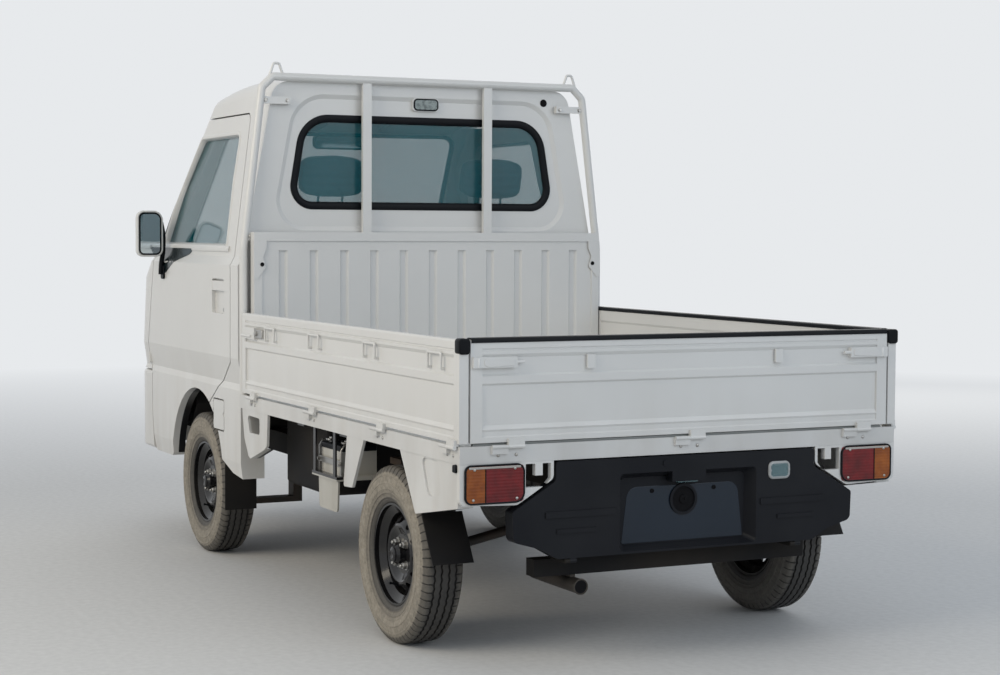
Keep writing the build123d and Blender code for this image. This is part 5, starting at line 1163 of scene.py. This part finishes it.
# Each pad's centre (x, z), size, lean in degrees, power that rounds it, most swelling in metres, axis across
# its channels with their places, axis that it faces, and the two axes that its welt runs round
PADS = {
    "cushion": dict(centre=(650.0, 755.3), size=(500.0, 480.0, 130.0), lean=0.0, power=0.30,
                    swelling=0.022, across=0, channels=(-120.0, 0.0, 120.0), facing=2, welt=(0, 1)),
    "backrest": dict(centre=(415.0, 1100.0), size=(110.0, 470.0, 560.0), lean=-12.0, power=0.30,
                     swelling=0.022, across=2, channels=(-150.0, -50.0, 50.0, 150.0), facing=0, welt=(2, 1)),
    "headrest": dict(centre=(346.0, 1448.7), size=(80.0, 260.0, 150.0), lean=-12.0, power=0.42,
                     swelling=0.010, across=2, channels=(-30.0, 0.0, 30.0), facing=0, welt=None)}
PAD_START = 0.965
VOXEL = 8.0
CLOTH_FRAMES = 20
CHANNEL_DEPTH = 4.0
CHANNEL_WIDTH = 7.0
WELT_POINTS = 120
WELT_RADIUS = 3.6


def signed_power(values, power):
    """A power of each value's size, with its sign kept."""
    return np.sign(values) * np.abs(values) ** power


def pad_shell(half, power):
    """Superellipsoid: each coordinate is its half size times a signed power of a sine or cosine."""
    rise, turn = np.meshgrid(np.linspace(-math.pi / 2, math.pi / 2, 49)[1:-1],
                             np.linspace(0, 2 * math.pi, 96, endpoint=False), indexing="ij")
    ring = half[0] * signed_power(np.cos(turn), power), half[1] * signed_power(np.sin(turn), power)
    points = np.stack([part * signed_power(np.cos(rise), power) for part in ring]
                      + [half[2] * signed_power(np.sin(rise), power)], -1)
    points = np.concatenate([points.reshape(-1, 3), [[0, 0, -half[2]], [0, 0, half[2]]]])
    return outward(points, pole_faces(*rise.shape))


def freeze(piece):
    """Replace a piece's mesh by what its modifiers make of it, and drop the modifiers."""
    evaluated = piece.evaluated_get(bpy.context.evaluated_depsgraph_get())
    mesh = bpy.data.meshes.new_from_object(evaluated)
    piece.modifiers.clear()
    piece.data = mesh
    return mesh


def get_vectors(items, attribute, kind):
    """One vector attribute of each item, as rows of an array."""
    values = np.empty(len(items) * 3, dtype=kind)
    items.foreach_get(attribute, values)
    return values.reshape(-1, 3)


def set_points(mesh, points):
    """Move every vertex of a mesh."""
    mesh.vertices.foreach_set("co", points.reshape(-1))
    mesh.update()


def swell(piece, most):
    """Remesh a pad, let cloth with inner pressure round it, and cap how far each point moved; metres."""
    remesh = piece.modifiers.new("even_mesh", "REMESH")
    remesh.mode = "VOXEL"
    remesh.voxel_size = VOXEL * MM
    start = get_vectors(freeze(piece).vertices, "co", np.float64)
    cloth = piece.modifiers.new("swelling", "CLOTH")
    cloth.settings.use_pressure = True
    cloth.settings.uniform_pressure_force = 4.0
    cloth.settings.effector_weights.gravity = 0.0
    cloth.settings.quality = 5
    cloth.point_cache.frame_start, cloth.point_cache.frame_end = 1, CLOTH_FRAMES
    for number in range(1, CLOTH_FRAMES + 1):
        bpy.context.scene.frame_set(number)
    mesh = freeze(piece)
    bpy.context.scene.frame_set(1)
    move = get_vectors(mesh.vertices, "co", np.float64) - start
    far = np.linalg.norm(move, axis=1, keepdims=True)
    moved = start + move * np.minimum(1.0, most / np.maximum(far, 1e-9))
    set_points(mesh, moved)
    return start, moved


def make_pad(name, side, centre, size, lean, power, swelling, across, channels, facing, welt):
    """Padded piece: a superellipsoid that swells, is sewn with channels across it, and gets a welt."""
    middle = np.array([centre[0], side * SEAT_Y, centre[1]])
    turn = math.radians(lean)
    turned = np.array([[math.cos(turn), 0, -math.sin(turn)], [0, 1, 0], [math.sin(turn), 0, math.cos(turn)]])
    half = np.array(size) * PAD_START / 2
    points, faces = pad_shell(half, power)
    piece = make_piece(name, (points @ turned + middle, faces), "seat_cloth", smooth_angle=180.0)
    start, moved = swell(piece, swelling)
    local = (moved / MM - middle) @ turned.T
    gap = np.abs(local[:, across][:, None] - np.array(channels)[None]).min(1)
    normals = get_vectors(piece.data.vertex_normals, "vector", np.float32)
    outer = np.clip(np.abs(normals @ turned.T[:, facing]) * 1.6 - 0.5, 0, 1)
    groove = CHANNEL_DEPTH * MM * np.exp(-(gap / CHANNEL_WIDTH) ** 2) * outer
    set_points(piece.data, moved - normals * groove[:, None])
    smoother = piece.modifiers.new("smoother", "SUBSURF")
    smoother.levels = smoother.render_levels = 1
    dress(freeze(piece), "seat_cloth")
    if welt:
        # The welt runs round the pad's widest outline and moves with the nearest point of the cover
        loop = np.linspace(0, 2 * math.pi, WELT_POINTS, endpoint=False)
        flat = np.zeros((WELT_POINTS, 3))
        for axis, wave_of in zip(welt, (np.cos, np.sin)):
            flat[:, axis] = half[axis] * signed_power(wave_of(loop), power)
        path = flat @ turned + middle
        nearest = np.linalg.norm(path[:, None] * MM - start[None], axis=2).argmin(1)
        path = path + (moved - start)[nearest] / MM
        make_piece("welt_" + name, tube(path, WELT_RADIUS, 8, closed=True), "cabin_grey", slot="seat_fabric")
    return piece


pads = [make_pad(kind + "_" + side_name, side, **pad)
        for side_name, side in BOTH_SIDES for kind, pad in PADS.items()]
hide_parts("seats")
for side_name, side in BOTH_SIDES:
    middle = side * SEAT_Y
    posts = [tube([(365, y, 1340), (358, y, 1375), (350, y, 1410)], 5.0, across=LEFTWARD)
             for y in (middle - 48, middle + 48)]
    arms = [rounded_block((392, y - 3, 700), (470, y + 3, 890), 1.4, 1, 22.0)
            for y in (middle - 240, middle + 240)]
    make_piece("headrest_posts_" + side_name, posts, "bright_steel")
    make_piece("recliner_plates_" + side_name, arms, "window_rubber", slot="cabin_plastic")


# Floor, backdrop, light and camera; metres and watts

BACKDROP = (0.80, 0.82, 0.84)
FLOOR_REACH = 60.0


def seen_directly(tree):
    """One where the camera, a mirror or a glass looks at the surface, and nought where light bounces."""
    path = new_node(tree, "LightPath", {})
    rays = [path.outputs["Is %s Ray" % kind] for kind in ("Camera", "Glossy", "Transmission")]
    return arithmetic(tree, "MAXIMUM", *rays)


def mix_to(tree, output, amount, first, second):
    """Send a mix of two shaders by an amount to the tree's output."""
    mixed = new_node(tree, "MixShader", {"Fac": amount, 1: first, 2: second})
    feed(tree.nodes[output], {"Surface": mixed.outputs["Shader"]})


def make_floor():
    """Round pale floor on a polar grid, which fades into the backdrop's colour with distance."""
    radius, turn = np.meshgrid(np.linspace(0.01, FLOOR_REACH, 24),
                               np.linspace(0.0, 2 * math.pi, 96, endpoint=False), indexing="ij")
    points = np.stack([radius * np.cos(turn), radius * np.sin(turn), np.zeros_like(radius)], -1)
    mesh = bpy.data.meshes.new("floor")
    mesh.from_pydata(points.reshape(-1, 3).tolist(), [], grid_faces(*radius.shape) + [list(range(96))])
    floor = add_object("floor", mesh)
    tree, shader = new_material("floor_pale")
    speckle = ramp(tree, noise(tree, 40.0, 4.0), [(0.3, (0.62, 0.62, 0.61)), (0.7, (0.68, 0.68, 0.67))])
    feed(shader, {"Base Color": speckle, "Roughness": 0.9})
    glow = new_node(tree, "Emission", {"Color": BACKDROP})
    squares = [arithmetic(tree, "POWER", axis_value(tree, axis), 2.0) for axis in (0, 1)]
    away = arithmetic(tree, "SQRT", arithmetic(tree, "ADD", *squares))
    fade = arithmetic(tree, "MULTIPLY", spread(tree, away, 0.0, 1.0, 3.0, 11.0), seen_directly(tree))
    mix_to(tree, "Material Output", fade, shader.outputs["BSDF"], glow.outputs["Emission"])
    mesh.materials.append(MATERIALS["floor_pale"])


def make_world():
    """Cool even light, seen by the camera as the backdrop's colour."""
    world = bpy.data.worlds.new("studio")
    bpy.context.scene.world = world
    world.use_nodes = True
    tree = world.node_tree
    light = tree.nodes["Background"]
    feed(light, {"Color": (0.80, 0.87, 0.97), "Strength": 0.50})
    seen = new_node(tree, "Background", {"Color": BACKDROP})
    mix_to(tree, "World Output", seen_directly(tree), light.outputs["Background"], seen.outputs["Background"])


def area_light(name, place, target, size, power, colour):
    """Soft rectangular lamp aimed at a point."""
    data = bpy.data.lights.new(name, "AREA")
    data.shape = "RECTANGLE"
    data.size, data.size_y = size
    data.energy = power
    data.color = colour
    lamp = add_object(name, data)
    lamp.location = place
    lamp.rotation_mode = "QUATERNION"
    lamp.rotation_quaternion = (Vector(target) - Vector(place)).to_track_quat("-Z", "Y")


def make_camera():
    """Camera at the photograph's place, turned by its azimuth, pitch and roll."""
    data = bpy.data.cameras.new("photo_camera")
    camera = add_object("photo_camera", data)
    data.sensor_width = SENSOR_WIDTH
    data.lens = FOCAL_PIXELS * SENSOR_WIDTH / PHOTO_WIDTH
    data.clip_start, data.clip_end = 0.05, 200.0
    look = Vector((math.cos(CAMERA_AZIMUTH) * math.cos(CAMERA_PITCH),
                   -math.sin(CAMERA_AZIMUTH) * math.cos(CAMERA_PITCH), -math.sin(CAMERA_PITCH)))
    right = Vector((-math.sin(CAMERA_AZIMUTH), -math.cos(CAMERA_AZIMUTH), 0.0))
    down = look.cross(right)
    turned_right = right * math.cos(CAMERA_ROLL) + down * math.sin(CAMERA_ROLL)
    turned_down = down * math.cos(CAMERA_ROLL) - right * math.sin(CAMERA_ROLL)
    axes = Matrix((turned_right, -turned_down, -look)).transposed().to_4x4()
    camera.matrix_world = Matrix.Translation(CAMERA_METRES) @ axes
    bpy.context.scene.camera = camera


make_floor()
make_world()
area_light("key", (-1.8, 7.0, 4.4), (-0.3, 0.4, 0.9), (6.0, 4.0), 280.0, (1.0, 0.90, 0.74))
area_light("fill", (-8.0, -2.0, 4.0), (-0.3, 0.0, 0.8), (7.0, 4.0), 150.0, (0.84, 0.92, 1.0))
area_light("front_fill", (7.0, -5.5, 3.0), (0.8, 0.0, 0.9), (7.0, 4.0), 170.0, (1.0, 0.98, 0.95))
make_camera()
bpy.context.scene.view_settings.view_transform = "Standard"
